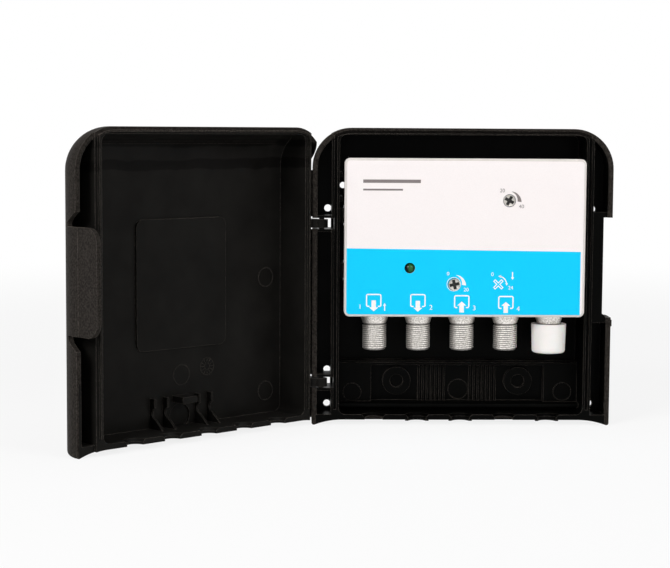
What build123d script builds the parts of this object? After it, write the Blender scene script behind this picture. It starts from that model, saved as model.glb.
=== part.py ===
from build123d import *
from math import asin, cos, degrees, radians, sin, sqrt
import os

os.makedirs("parts", exist_ok=True)

# Mast amplifier for television signals: an amplifier module with five threaded ports,
# clipped into a shallow weather case whose cover swings open about a vertical hinge.
# Lengths are in millimetres. X runs to the right, Z up, and the front looks along -Y.
# The origin is midway between the two clamp holes, on the plane of their rear mouths.
# "Depth" is measured backwards from the parting plane between case and cover, and
# "height" upwards from the line of the case's sill.

# Case outline and shells
case_width = 120.0
case_height = 117.0
corner_r = 16.0
foot_reach = 12.5
foot_r = 32.0
foot_tip_r = 0.9
skin = 2.0
sill = 2.1
top_wall = 2.7

# Rear housing: shallow wings at the sides, and a deeper tray between them
base_depth = 22.0
wing_depth = 13.5
wing_round = 4.0
tray_inset = 7.7
tray_wall = 3.1
tray_floor = 2.0
tray_corner_r = 2.8
tray_round = 3.0
groove_inset = 0.95
groove_width = 1.25
groove_depth = 1.5

# Lower panel of the tray, with the clamp bay behind it
panel_top = 22.0
panel_setback = 7.0
step_groove_height = 0.8
step_groove_depth = 1.5
bay_side = 13.7
bay_setback = 3.5
bay_top = 20.2
lip_bottom = 3.2
lip_thickness = 2.0
lip_reach = 9.0
clamp_height = 13.5
clamp_inset = 10.5
clamp_hole_d = 5.5
clamp_recess_d = 5.4
clamp_boss_d = 11.5
clamp_boss_length = 6.0
clamp_recess_depth = 2.0
clamp_membrane = 0.8
saddle_r = 30.0
saddle_clear = 0.4
saddle_teeth = 7
saddle_pitch = 1.75
saddle_inner = 4.4
tooth_height = 1.0
saddle_bottom = 3.0
rib_width = 0.8
rib_rise = 1.0
rib_top = 19.6

# Cable exits, one under each port
port_end_inset = 12.55
port_count = 5
exit_r = 3.65
exit_flare = 1.1
collar_wall = 1.2
collar_drop = 0.6
web_thickness = 0.8
web_setback = 1.0
exit_is_open = (False, True, True, False, True)

# Hinge between housing and cover
hinge_inset = 3.7
hinge_depth = 1.6
open_angle = 138.0
stop_clearance = 0.2
lower_hinge_height = 15.05
upper_hinge_height_share = 0.67436
slot_height = 4.4
slot_notch = 1.0
slot_wall = 1.1
slot_wall_setback = 0.3
arm_height = 3.3
knuckle_r = 2.5
arm_root_depth = 9.0
trunnion_r = 1.05
running_clearance = 0.05
trunnion_end_gap = 0.2

# Latch: a tab of the cover that lies in a recess of the housing's right side
recess_step = 3.4
recess_bottom_share = 0.35556
recess_top_share = 0.69915
recess_wall = 2.0
recess_plate_depth = 1.0
recess_plate = 2.0
ledge = 2.2
ramp = 1.6
bump_rise = 0.4
bump_height = 2.6
catch_rise = 0.6
catch_depth = 6.6
catch_length = 26.0
tab_clearance = 0.5
tab_reach = 11.0
tab_corner_r = 5.8
tab_crease = 0.2
barb_rise = 0.6
barb_width = 1.6
barb_edge = 1.2
notch_depth = 7.5
notch_width = 1.5
notch_mouth = 5.5

# Small holes and blocks of the moulding
drain_r = 1.45
drain_inset = 6.3
drain_height = 4.9
hinge_drain_rises = (3.85, 5.7)
recess_drain_rise = 2.8
core_hole_r = 1.3
core_hole_inset = 12.6
core_hole_height_share = 0.8
core_block = 2.2
core_block_rise = 1.1
core_block_offset = 4.9

# Front cover, drawn closed
cover_depth = 18.0
cover_wall = 2.0
cover_round = 15.0
cover_skin_gap = 1.5
cover_rim_gap = 0.3
tongue_width = 0.6
tongue_height = 0.9
cutback_end = 13.0
cutback_rise = 7.2
pad_width_share = 0.3617
pad_height_share = 0.4274
pad_centre_share = 0.4872
pad_offset = 1.3
pad_corner_r = 3.0
pad_rise = 1.0
clip_offset = 1.9
clip_plate = 0.9
clip_inner = 7.75
clip_outer = 13.95
clip_top = 13.7
clip_shoulder = 6.2
clip_toe = 2.4
clip_low_rise = 2.7
clip_high_rise = 7.6
clip_seat_r = 2.1
clip_seat_rise = 3.2
clip_seat_height = 8.0
tongue_clip_width = 7.0
tongue_clip_height = 2.4
tongue_clip_rise = 6.6
scoop_r = 4.8
scoop_height = 5.6
scoop_cut = 0.8

# Amplifier module
module_side_gap = 1.65
module_top_gap = 9.1
module_bottom = 42.8
module_front = 10.3
module_corner_r = 2.2
label_thickness = 0.2
label_inset = 0.95
lid_thickness = 1.0
lid_skirt = 4.5
lid_clearance = 0.05
chassis_wall = 1.4
chassis_back_depth = 11.2
post_r = 3.5
post_hole_r = 1.2
post_inset = 9.0
hook_plate = 1.1
hook_width = 6.0
hook_gap = 0.3
hook_front_depth = 3.0
hook_barb = 1.1
hook_barb_height = 2.0
hook_height_shares = (0.2756, 0.628)
lug_gap = 0.1
lug_rise = 1.0
lug_thickness = 2.0
lug_width = 8.0

# Ports
thread_r = 4.75
thread_chamfer = 0.5
port_end_height = 28.7
port_collar_r = 5.15
port_collar_length = 2.4
port_neck_r = 4.2
port_neck_length = 3.3
port_bore_r = 3.6
port_bore_depth = 12.0
port_fit = 0.05
port_nut_r = 5.6
port_nut_thickness = 1.8
insulator_setback = 1.0
insulator_disc = 2.4
insulator_entry_r = 0.75
insulator_tube_r = 2.1
contact_r = 1.1
contact_bore_r = 0.5
contact_setback = 0.3
contact_bore_depth = 7.0
contact_tail_r = 0.5
contact_tail_share = 0.04903
cap_top_r = 6.95
cap_bottom_r = 6.6
cap_collar_gap = 2.25
cap_end_wall = 1.0
cap_round = 1.1
cap_mouth_chamfer = 0.5
cap_end_gap = 0.1

# Circuit board and what it carries
board_thickness = 1.6
board_gap = 0.05
board_margin = 1.2
board_rise = 0.35
board_boss_r = 3.0
board_screw_inset = 5.0
screw_r = 1.25
screw_pilot_gap = 0.05
screw_length = 6.0
screw_head_r = 2.4
screw_head_height = 1.6
led_share = (-0.2282, 0.2701)
led_r = 1.95
led_hole_r = 2.1
led_dome_front = 10.2
led_body_length = 4.5
led_flange_r = 2.3
led_flange = 0.9
led_leg = 0.5
led_leg_spacing = 2.54
trimmer_shares = ((0.1819, 0.7641), (-0.0421, 0.1498))
trimmer_body_share = 0.1665
trimmer_body_corner = 1.0
trimmer_lid_gap = 0.5
trimmer_rotor_r = 2.35
trimmer_hole_r = 2.55
trimmer_rotor_front = 10.0
trimmer_rotor_length = 6.0
trimmer_slot = 0.7
trimmer_slot_depth = 1.0
partition_thickness = 0.6
partition_gap = 0.3
partition_share = (0.0631, 0.4533)
partition_slot = 5.0
chip_width = 5.0
chip_height = 4.0
chip_thickness = 1.5
chip_bevel = 0.3
chip_shares = ((-0.2313, 0.6013), (0.3155, 0.6383), (-0.0841, 0.8233))
capacitor_r = 3.1
capacitor_length = 6.2
capacitor_round = 0.5
capacitor_shares = ((-0.3575, 0.7123), (-0.3155, 0.49), (0.3049, 0.8603))
core_width = 7.0
core_height = 5.0
core_thickness = 4.4
core_bore_r = 1.1
core_bore_spacing = 3.2
core_shares = ((-0.3575, 0.2313), (0.1788, 0.1758), (0.3365, 0.2313))
regulator_width = 6.4
regulator_height = 6.0
regulator_thickness = 2.3
regulator_tab_height = 2.2
regulator_tab_thickness = 0.6
regulator_share = (-0.2313, 0.8233)

# One overrun for every cut that has to break through a face
overrun = 1.0

# Sizes worked out from the ones above
half_width = case_width / 2
parting_y = -base_depth
sill_z = -clamp_height
channel_depth = wing_depth - skin
panel_depth = base_depth - panel_setback
bay_depth = base_depth - bay_setback
lip_depth = bay_depth - lip_reach
clamp_boss_depth = base_depth - clamp_boss_length
tray_depth = base_depth - tray_floor
tray_half = half_width - tray_inset
tray_inner_half = tray_half - tray_wall
bay_half_width = tray_inner_half - bay_side
clamp_spacing = 2 * (bay_half_width - clamp_inset)
tray_top = case_height - top_wall
foot_start = half_width - foot_reach
foot_angle = degrees(asin(foot_reach / foot_r))
hinge_x = -half_width + hinge_inset
hinge_heights = (lower_hinge_height, upper_hinge_height_share * case_height)
recess_bottom = recess_bottom_share * case_height
recess_top = recess_top_share * case_height
core_hole_height = core_hole_height_share * case_height
cutback_top = case_height - cutback_end
module_width = 2 * (tray_inner_half - module_side_gap)
module_top = tray_top - module_top_gap
module_height = module_top - module_bottom
module_middle = (module_bottom + module_top) / 2
hook_heights = [module_bottom + share * module_height for share in hook_height_shares]
port_pitch = (module_width - 2 * port_end_inset) / (port_count - 1)
port_x = [(i - (port_count - 1) / 2) * port_pitch for i in range(port_count)]
open_exits = [i for i in range(port_count) if exit_is_open[i]]
drain_heights_left = [drain_height]
for height, rise in zip(hinge_heights, hinge_drain_rises):
    drain_heights_left.append(height + rise)
drain_heights_right = (drain_height, recess_top + recess_drain_rise)
lid_front = module_front - label_thickness
lid_inner = lid_front - lid_thickness
chassis_width = module_width - 2 * (lid_thickness + lid_clearance)
chassis_height = module_height - 2 * (lid_thickness + lid_clearance)
chassis_bottom = module_bottom + lid_thickness + lid_clearance
chassis_floor_depth = chassis_back_depth - chassis_wall
board_front_depth = contact_tail_r + board_gap
board_back_depth = board_front_depth + board_thickness
board_bottom = chassis_bottom + port_neck_length + board_rise
board_top = chassis_bottom + chassis_height - chassis_wall - board_margin
board_half = chassis_width / 2 - chassis_wall - board_margin
board_height = board_top - board_bottom
trimmer_body = trimmer_body_share * board_height
contact_tip = board_bottom + contact_tail_share * board_height


def on_board(share):
    # Place on the board: a share of the module's width, and one of the board's height
    return (share[0] * module_width, board_bottom + share[1] * board_height)


led_x, led_height = on_board(led_share)
partition_x, partition_height = on_board(partition_share)
regulator_x, regulator_middle = on_board(regulator_share)
trimmer_places = [on_board(share) for share in trimmer_shares]
chip_places = [on_board(share) for share in chip_shares]
capacitor_places = [on_board(share) for share in capacitor_shares]
core_places = [on_board(share) for share in core_shares]


def front(depth):
    # Sketch plane seen from the front, with its origin on the middle of the sill line
    return Plane((0, parting_y + depth, sill_z), x_dir=(1, 0, 0), z_dir=(0, -1, 0))


def level(height):
    # Sketch plane seen from above: x as in the model, y is the depth
    return Plane((0, parting_y, sill_z + height))


def section(x):
    # Sketch plane seen from the right: x is the depth and y the height
    return Plane((x, parting_y, sill_z), x_dir=(0, 1, 0), z_dir=(1, 0, 0))


def block(x_span, height_span, depth_span):
    # Rectangular block between two x positions, two heights and two depths
    with BuildPart() as made:
        with BuildSketch(front(depth_span[1])):
            with Locations((sum(x_span) / 2, sum(height_span) / 2)):
                Rectangle(x_span[1] - x_span[0], height_span[1] - height_span[0])
        extrude(amount=depth_span[1] - depth_span[0])
    return made.part


def stud(x, height, radius, depth_span):
    # Round stud or hole that runs from front to back
    with BuildPart() as made:
        with BuildSketch(front(depth_span[1])):
            with Locations((x, height)):
                Circle(radius)
        extrude(amount=depth_span[1] - depth_span[0])
    return made.part


def upright(x, depth, radius, height_span, top_radius=None):
    # Round pin or hole that runs upwards, tapered where a top radius is given
    with BuildPart() as made:
        with BuildSketch(level(height_span[0])):
            with Locations((x, depth)):
                Circle(radius)
        if top_radius is None:
            extrude(amount=height_span[1] - height_span[0])
        else:
            with BuildSketch(level(height_span[1])):
                with Locations((x, depth)):
                    Circle(top_radius)
            loft()
    return made.part


# Outline of case and cover: straight sill, arched feet, upright sides, round shoulders
with BuildSketch() as case_outline:
    with BuildLine() as right_half:
        Line((0, 0), (foot_start, 0))
        foot = JernArc((foot_start, 0), (1, 0), foot_r, -foot_angle)
        side = Line(foot @ 1, (half_width, case_height - corner_r))
        shoulder = JernArc(side @ 1, (0, 1), corner_r, 90)
        Line(shoulder @ 1, (0, case_height))
        mirror(right_half.line, about=Plane.YZ)
    make_face()

with BuildSketch() as case_inside:
    offset(case_outline.sketch, amount=-skin)
    with Locations((0, (sill + tray_top) / 2)):
        Rectangle(case_width, tray_top - sill, mode=Mode.INTERSECT)

# The tray between the wings shares the case's top wall
with BuildSketch() as tray_outline:
    add(case_outline.sketch)
    with Locations((0, case_height / 2)):
        Rectangle(2 * tray_half, 2 * case_height, mode=Mode.INTERSECT)

with BuildSketch() as tray_inside:
    with Locations((0, (sill + tray_top) / 2)):
        Rectangle(2 * tray_inner_half, tray_top - sill)
    fillet(tray_inside.vertices(), tray_corner_r)

with BuildSketch() as channels:
    add(case_inside.sketch)
    add(tray_outline.sketch, mode=Mode.SUBTRACT)


def rim_ring(inset, width):
    # Band that follows the tray's rim up one side, over the top and down the other
    with BuildSketch() as ring:
        offset(tray_outline.sketch, amount=-inset)
        offset(tray_outline.sketch, amount=-inset - width, mode=Mode.SUBTRACT)
        with Locations((0, sill / 2)):
            Rectangle(case_width, 2 * sill + 2 * inset, mode=Mode.SUBTRACT)
    return ring.sketch


def back_edges(shape):
    # Edges round the back of a shape, apart from those along its sill and feet
    last = shape.edges().group_by(Axis.Y)[-1]
    return last.filter_by(lambda edge: edge.center().Z > sill_z + sill)


# Rear housing: wings, then the deeper tray, both hollow from the front
with BuildPart() as wings:
    with BuildSketch(front(wing_depth)):
        add(case_outline.sketch)
    extrude(amount=wing_depth)
    fillet(back_edges(wings), wing_round)

with BuildPart() as rear_housing:
    with BuildSketch(front(base_depth)):
        add(tray_outline.sketch)
    extrude(amount=base_depth)
    fillet(back_edges(rear_housing), tray_round)
    add(wings.part)
    feet = rear_housing.edges().filter_by(Axis.Y).group_by(Axis.Z)[0]
    fillet(feet, foot_tip_r)
    with BuildSketch(front(channel_depth)):
        add(channels.sketch)
    extrude(amount=channel_depth, mode=Mode.SUBTRACT)
    with BuildSketch(front(panel_depth)):
        add(tray_inside.sketch)
    extrude(amount=panel_depth, mode=Mode.SUBTRACT)
    with BuildSketch(front(tray_depth)):
        add(tray_inside.sketch)
        with Locations((0, panel_top / 2)):
            Rectangle(case_width, panel_top, mode=Mode.SUBTRACT)
    extrude(amount=tray_depth, mode=Mode.SUBTRACT)
    with BuildSketch(front(groove_depth)):
        add(rim_ring(groove_inset, groove_width))
    extrude(amount=groove_depth, mode=Mode.SUBTRACT)

# Lower panel: step groove, central bay seen from inside, and the clamp bay behind
with BuildPart() as panel_cuts:
    add(
        block(
            (-tray_inner_half, tray_inner_half),
            (panel_top - step_groove_height, panel_top),
            (panel_depth, panel_depth + step_groove_depth),
        )
    )
    add(
        block(
            (-bay_half_width, bay_half_width),
            (lip_bottom + lip_thickness, bay_top),
            (panel_depth - overrun, bay_depth),
        )
    )
    add(
        block(
            (-tray_inner_half, tray_inner_half),
            (sill, panel_top - step_groove_height - tray_floor),
            (panel_depth + tray_floor, base_depth + overrun),
        )
    )

with BuildPart() as bay_wall:
    add(
        block(
            (-bay_half_width - tray_floor, bay_half_width + tray_floor),
            (sill, panel_top - step_groove_height - tray_floor),
            (panel_depth, bay_depth + tray_floor),
        )
    )
    add(
        block(
            (-bay_half_width, bay_half_width),
            (lip_bottom + lip_thickness, bay_top),
            (panel_depth - overrun, bay_depth),
        ),
        mode=Mode.SUBTRACT,
    )

clamp_x = (-clamp_spacing / 2, clamp_spacing / 2)
recess_floor = clamp_boss_depth + clamp_recess_depth

# Toothed saddle for the mast: teeth along a round seat, either side of the middle
seat_depth = base_depth + saddle_clear
saddle_outer = saddle_inner + saddle_teeth * saddle_pitch


def seat(x):
    # Depth of the round seat at a distance from the middle
    return seat_depth + saddle_r - sqrt(saddle_r**2 - x**2)


tooth_points = []
for tooth in range(saddle_teeth):
    tooth_start = saddle_inner + tooth * saddle_pitch
    tooth_points.append((tooth_start, seat(tooth_start) - tooth_height))
    tooth_points.append((tooth_start + saddle_pitch / 2, seat(tooth_start + saddle_pitch / 2)))
tooth_points.append((saddle_outer, seat(saddle_outer) - tooth_height))

with BuildPart() as saddle:
    with BuildSketch(level(saddle_bottom)):
        with BuildLine():
            Polyline(
                (saddle_inner, bay_depth + tray_floor / 2),
                *tooth_points,
                (saddle_outer, bay_depth + tray_floor / 2),
                close=True,
            )
        make_face()
        mirror(about=Plane.YZ)
    extrude(amount=bay_top - saddle_bottom)

with BuildPart() as bay_ribs:
    for tooth in range(saddle_teeth):
        rib_x = saddle_inner + (tooth + 1 / 2) * saddle_pitch
        for rib_side in (-rib_x, rib_x):
            add(
                block(
                    (rib_side - rib_width / 2, rib_side + rib_width / 2),
                    (sill, rib_top),
                    (bay_depth - rib_rise, bay_depth),
                )
            )

with BuildPart() as lip:
    add(
        block(
            (-tray_inner_half, tray_inner_half),
            (lip_bottom, lip_bottom + lip_thickness),
            (lip_depth, bay_depth),
        )
    )
    fillet(lip.edges().filter_by(Axis.X).group_by(Axis.Y)[0], lip_thickness / 3)

with BuildPart() as clamp_bosses:
    for x in clamp_x:
        add(stud(x, clamp_height, clamp_boss_d / 2, (clamp_boss_depth, base_depth)))

with BuildPart() as clamp_holes:
    for x in clamp_x:
        recess_span = (clamp_boss_depth - overrun, recess_floor)
        rear_span = (recess_floor + clamp_membrane, base_depth + overrun)
        add(stud(x, clamp_height, clamp_recess_d / 2, recess_span))
        add(stud(x, clamp_height, clamp_hole_d / 2, rear_span))

# Cable exits: half-round notches with a flared lead-in, open or closed by a thin web
with BuildPart() as exit_cuts:
    for x in port_x:
        flare_span = (sill - exit_flare, sill)
        add(upright(x, 0, exit_r, (-overrun, sill + overrun)))
        add(upright(x, 0, exit_r, flare_span, exit_r + exit_flare))

with BuildPart() as exit_collars:
    for i in open_exits:
        collar_span = (-collar_drop, sill - exit_flare)
        add(upright(port_x[i], 0, exit_r + collar_wall, collar_span))
    for i in open_exits:
        add(upright(port_x[i], 0, exit_r, (-overrun, sill + overrun)), mode=Mode.SUBTRACT)
    front_side = block((-half_width, half_width), (-sill, 2 * sill), (-case_height, web_setback))
    add(front_side, mode=Mode.SUBTRACT)

with BuildPart() as exit_webs:
    for i in range(port_count):
        if i not in open_exits:
            add(upright(port_x[i], 0, exit_r + skin / 2, (0, web_thickness)))
    add(front_side, mode=Mode.SUBTRACT)

# Hinge slots: each cuts skin, wing floor and a notch of the tray wall, between two walls
with BuildPart() as slot_walls:
    for height in hinge_heights:
        outer_half = slot_height / 2 + slot_wall
        add(
            block(
                (-half_width + skin / 2, -tray_half),
                (height - outer_half, height + outer_half),
                (slot_wall_setback, channel_depth),
            )
        )

with BuildPart() as slot_cuts:
    for height in hinge_heights:
        outer_half = slot_height / 2 + slot_wall
        add(
            block(
                (-half_width - overrun, -tray_half + slot_notch),
                (height - slot_height / 2, height + slot_height / 2),
                (-overrun, wing_depth + overrun),
            )
        )
        hole_r = trunnion_r + running_clearance
        add(upright(hinge_x, hinge_depth, hole_r, (height - outer_half, height + outer_half)))

# Latch recess on the right: the side steps inwards, closed in front by a flat plate
recess_face = half_width - recess_step
with BuildPart() as recess_cut:
    add(
        block(
            (tray_half, half_width + overrun),
            (recess_bottom, recess_top),
            (-overrun, wing_depth + overrun),
        )
    )

with BuildPart() as recess_walls:
    add(
        block(
            (tray_half, recess_face),
            (recess_bottom, recess_top),
            (recess_plate_depth, recess_plate_depth + recess_plate),
        )
    )
    add(
        block(
            (recess_face - recess_wall, recess_face),
            (recess_bottom, recess_top),
            (recess_plate_depth, wing_depth),
        )
    )
    for ledge_bottom in (recess_bottom - ledge, recess_top):
        add(
            block(
                (tray_half, half_width - skin / 2),
                (ledge_bottom, ledge_bottom + ledge),
                (recess_plate_depth, wing_depth - wing_round),
            )
        )
    with BuildSketch(front(wing_depth - wing_round)):
        with BuildLine():
            Polyline(
                (recess_face, recess_bottom),
                (recess_face, recess_bottom + ramp),
                (recess_face + ramp, recess_bottom),
                close=True,
            )
        make_face()
    extrude(amount=wing_depth - wing_round - recess_plate_depth)
    catch_centre = (recess_bottom + recess_top) / 2
    with BuildSketch(level(catch_centre - catch_length / 2)):
        with BuildLine():
            Polyline(
                (recess_face, catch_depth - 2 * catch_rise),
                (recess_face + catch_rise, catch_depth),
                (recess_face, catch_depth + catch_rise),
                close=True,
            )
        make_face()
    extrude(amount=catch_length)
    add(
        block(
            (half_width - skin, half_width + bump_rise),
            (recess_bottom - ledge - bump_height / 2, recess_bottom - ledge + bump_height / 2),
            (0, wing_depth - wing_round),
        )
    )

# Seats for the module: hollow posts behind it and snap hooks at its sides
post_x = chassis_width / 2 - post_inset
post_heights = (chassis_bottom + post_inset, chassis_bottom + chassis_height - post_inset)
hook_inner = chassis_width / 2 + lug_rise + hook_gap
with BuildPart() as module_seats:
    for height in post_heights:
        for x in (-post_x, post_x):
            add(stud(x, height, post_r, (chassis_back_depth, tray_depth)))
    for height in post_heights:
        for x in (-post_x, post_x):
            pilot = stud(x, height, post_hole_r, (chassis_back_depth, tray_depth - overrun))
            add(pilot, mode=Mode.SUBTRACT)
    for height in hook_heights:
        with BuildSketch(level(height - hook_width / 2)):
            with BuildLine():
                Polyline(
                    (hook_inner, tray_depth),
                    (hook_inner, hook_front_depth + hook_barb_height),
                    (hook_inner - hook_barb, hook_front_depth + hook_barb_height),
                    (hook_inner, hook_front_depth),
                    (hook_inner + hook_plate, hook_front_depth),
                    (hook_inner + hook_plate, tray_depth),
                    close=True,
                )
            make_face()
            mirror(about=Plane.YZ)
        extrude(amount=hook_width)
    for side in (-core_block_offset, core_block_offset):
        block_height = core_hole_height + side
        add(
            block(
                (-tray_inner_half, -tray_inner_half + core_block_rise),
                (block_height - core_block / 2, block_height + core_block / 2),
                (core_block, tray_depth),
            )
        )

with BuildPart() as small_holes:
    for height in drain_heights_left:
        hole_span = (channel_depth - overrun, wing_depth + overrun)
        add(stud(-half_width + drain_inset, height, drain_r, hole_span))
    for height in drain_heights_right:
        hole_span = (channel_depth - overrun, wing_depth + overrun)
        add(stud(half_width - drain_inset, height, drain_r, hole_span))
    core_span = (tray_depth - overrun, base_depth + overrun)
    add(stud(-half_width + core_hole_inset, core_hole_height, core_hole_r, core_span))

with BuildPart() as rear_housing_done:
    add(rear_housing.part)
    add(panel_cuts.part, mode=Mode.SUBTRACT)
    add(recess_cut.part, mode=Mode.SUBTRACT)
    add(bay_wall.part)
    add(saddle.part)
    add(bay_ribs.part)
    add(lip.part)
    add(clamp_bosses.part)
    add(clamp_holes.part, mode=Mode.SUBTRACT)
    add(exit_cuts.part, mode=Mode.SUBTRACT)
    add(exit_collars.part)
    add(exit_webs.part)
    add(slot_walls.part)
    add(slot_cuts.part, mode=Mode.SUBTRACT)
    add(recess_walls.part)
    add(module_seats.part)
    add(small_holes.part, mode=Mode.SUBTRACT)


def save(shape, name):
    # Writes one finished piece under its name
    shape.label = name
    export_step(shape, f"parts/{name}.step")


save(rear_housing_done.part, "rear_housing")

# Front cover, drawn closed: a rounded shell, with an inner wall that meets the tray's rim
cover_floor = cover_depth - cover_wall
with BuildSketch() as cover_inside:
    offset(case_outline.sketch, amount=-cover_wall)
    with Locations((0, (sill + case_height) / 2)):
        Rectangle(case_width, case_height - sill, mode=Mode.INTERSECT)


def front_edges(shape):
    # Edges round the front of a shape, apart from those along its sill and feet
    first = shape.edges().group_by(Axis.Y)[0]
    return first.filter_by(lambda edge: edge.center().Z > sill_z + sill + overrun)


with BuildPart() as cover_form:
    with BuildSketch(front(-cover_rim_gap)):
        add(case_outline.sketch)
    extrude(amount=cover_depth - cover_rim_gap)
    fillet(front_edges(cover_form), cover_round)
    tips = cover_form.edges().filter_by(Axis.Y).group_by(Axis.Z)[0]
    fillet(tips, foot_tip_r)

with BuildPart() as cover_cavity:
    with BuildSketch(front(overrun)):
        add(cover_inside.sketch)
    extrude(amount=cover_floor + overrun)
    fillet(front_edges(cover_cavity), cover_round - cover_wall)

with BuildPart() as cover_ring:
    with BuildSketch(front(-cover_rim_gap)):
        add(tray_outline.sketch)
        add(tray_inside.sketch, mode=Mode.SUBTRACT)
    extrude(amount=cover_floor - cover_rim_gap)
    add(cover_form.part, mode=Mode.INTERSECT)

with BuildPart() as tongue:
    with BuildSketch(front(tongue_height)):
        add(rim_ring(groove_inset + (groove_width - tongue_width) / 2, tongue_width))
    extrude(amount=tongue_height + cover_rim_gap)

# The hinge side is cut back so that the skin's edge comes up to the round back of the
# housing's wing, as a stop, when the cover stands at its full opening angle
opening = radians(open_angle)
stop_x = hinge_inset - wing_round - hinge_inset * cos(opening)
stop_depth = hinge_depth - wing_depth + wing_round + hinge_inset * sin(opening)
stop_along = stop_x * sin(opening) + stop_depth * cos(opening)
stop_radius = wing_round + stop_clearance
stop_across = stop_x**2 + stop_depth**2 - stop_along**2
stop_reach = stop_along + sqrt(stop_radius**2 - stop_across)
cutback = stop_reach - hinge_depth
with BuildPart() as skin_cuts:
    with BuildSketch(front(overrun)):
        add(case_outline.sketch)
        with Locations((0, case_height / 2)):
            Rectangle(2 * tray_half, 2 * case_height, mode=Mode.SUBTRACT)
    extrude(amount=overrun + cover_skin_gap)
    with BuildSketch(section(-half_width - overrun)):
        with BuildLine():
            Polyline(
                (-cutback, -foot_reach),
                (-cutback, cutback_top),
                (-cover_skin_gap, cutback_top + cutback_rise),
                (overrun, cutback_top + cutback_rise),
                (overrun, -foot_reach),
                close=True,
            )
        make_face()
    extrude(amount=tray_inset + overrun)

# Latch tab: a springy plate of the right side, between two notches of the skin
tab_bottom = recess_bottom + tab_clearance
tab_top = recess_top - tab_clearance
tab_root = cover_depth - cover_round
with BuildPart() as latch_tab:
    with BuildSketch(section(half_width - skin)) as tab_face:
        with Locations(((tab_reach - tab_root) / 2, (tab_bottom + tab_top) / 2)):
            Rectangle(tab_reach + tab_root, tab_top - tab_bottom)
        fillet(tab_face.vertices().group_by(Axis.X)[-1], tab_corner_r)
    extrude(amount=skin)
    far_end = block(
        (half_width - tab_crease, half_width + overrun),
        (tab_bottom - overrun, tab_top + overrun),
        (-cover_rim_gap, tab_reach + overrun),
    )
    add(far_end, mode=Mode.SUBTRACT)
    barb_length = catch_length
    barb_depth = tab_reach - barb_edge - barb_width
    with BuildSketch(level((tab_bottom + tab_top - barb_length) / 2)):
        with BuildLine():
            Polyline(
                (half_width - skin, barb_depth),
                (half_width - skin - barb_rise, barb_depth),
                (half_width - skin, barb_depth + barb_width),
                close=True,
            )
        make_face()
    extrude(amount=barb_length)

with BuildPart() as tab_notches:
    with BuildSketch(section(tray_half)):
        with BuildLine():
            Polyline(
                (-notch_depth, tab_top),
                (-notch_depth, tab_top + notch_width),
                (-cover_skin_gap, tab_top + notch_mouth),
                (overrun, tab_top + notch_mouth),
                (overrun, tab_top),
                close=True,
            )
        make_face()
        with BuildLine():
            Polyline(
                (-notch_depth, tab_bottom),
                (-notch_depth, tab_bottom - notch_width),
                (-cover_skin_gap, tab_bottom - notch_mouth),
                (overrun, tab_bottom - notch_mouth),
                (overrun, tab_bottom),
                close=True,
            )
        make_face()
    extrude(amount=tray_inset + overrun)

# Hinge arms: each ends in a knuckle whose trunnions turn in the walls of its slot
with BuildPart() as hinge_arms:
    for height in hinge_heights:
        with BuildSketch(level(height - arm_height / 2)):
            with BuildLine():
                Polyline(
                    (hinge_x - knuckle_r, hinge_depth),
                    (hinge_x + knuckle_r, hinge_depth),
                    (-tray_half, -cover_rim_gap),
                    (-tray_half + overrun, -arm_root_depth),
                    (hinge_x, -arm_root_depth),
                    close=True,
                )
            make_face()
            with Locations((hinge_x, hinge_depth)):
                Circle(knuckle_r)
        extrude(amount=arm_height)
        trunnion_half = slot_height / 2 + slot_wall - trunnion_end_gap
        trunnion_span = (height - trunnion_half, height + trunnion_half)
        add(upright(hinge_x, hinge_depth, trunnion_r, trunnion_span))

# Inside of the front: a raised pad behind a shallow bare recess, and ribs with round
# seats for a cable below a tongue
pad_width = pad_width_share * case_width
pad_height = pad_height_share * case_height
with BuildPart() as pad:
    with BuildSketch(front(-cover_floor + pad_rise)):
        with Locations((pad_offset, pad_centre_share * case_height)):
            RectangleRounded(pad_width, pad_height, pad_corner_r)
    extrude(amount=pad_rise)

with BuildPart() as front_recess:
    with BuildSketch(front(-cover_depth + pad_rise)):
        with Locations((pad_offset, pad_centre_share * case_height)):
            RectangleRounded(pad_width, pad_height, pad_corner_r)
    extrude(amount=pad_rise + overrun)

with BuildPart() as clip:
    for x in (-clip_outer, -clip_inner, clip_inner, clip_outer):
        with BuildSketch(section(clip_offset + x - clip_plate / 2)):
            with BuildLine():
                Polyline(
                    (-cover_floor, sill / 2),
                    (-cover_floor + clip_high_rise, sill / 2),
                    (-cover_floor + clip_high_rise, clip_toe),
                    (-cover_floor + clip_low_rise, clip_shoulder),
                    (-cover_floor + clip_low_rise, clip_top),
                    (-cover_floor, clip_top),
                    close=True,
                )
            make_face()
            with Locations((-cover_floor + clip_seat_rise, clip_seat_height)):
                Circle(clip_seat_r, mode=Mode.SUBTRACT)
        extrude(amount=clip_plate)
    tongue_half = tongue_clip_width / 2
    add(
        block(
            (clip_offset - tongue_half, clip_offset + tongue_half),
            (clip_top - tongue_clip_height, clip_top),
            (-cover_floor, -cover_floor + tongue_clip_rise),
        )
    )

with BuildPart() as front_cover:
    add(cover_form.part)
    add(cover_cavity.part, mode=Mode.SUBTRACT)
    add(cover_ring.part)
    add(tongue.part)
    add(skin_cuts.part, mode=Mode.SUBTRACT)
    add(tab_notches.part, mode=Mode.SUBTRACT)
    add(latch_tab.part)
    add(exit_cuts.part, mode=Mode.SUBTRACT)
    add(front_recess.part, mode=Mode.SUBTRACT)
    add(pad.part)
    add(clip.part)
    scoop_span = (-cover_floor - scoop_cut, -cover_floor + pad_rise)
    scoop = stud(clip_offset, scoop_height, scoop_r, scoop_span)
    add(scoop, mode=Mode.SUBTRACT)
    add(hinge_arms.part)

hinge_axis = Axis((hinge_x, parting_y + hinge_depth, 0), (0, 0, 1))
save(front_cover.part.rotate(hinge_axis, -open_angle), "front_cover")

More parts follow.
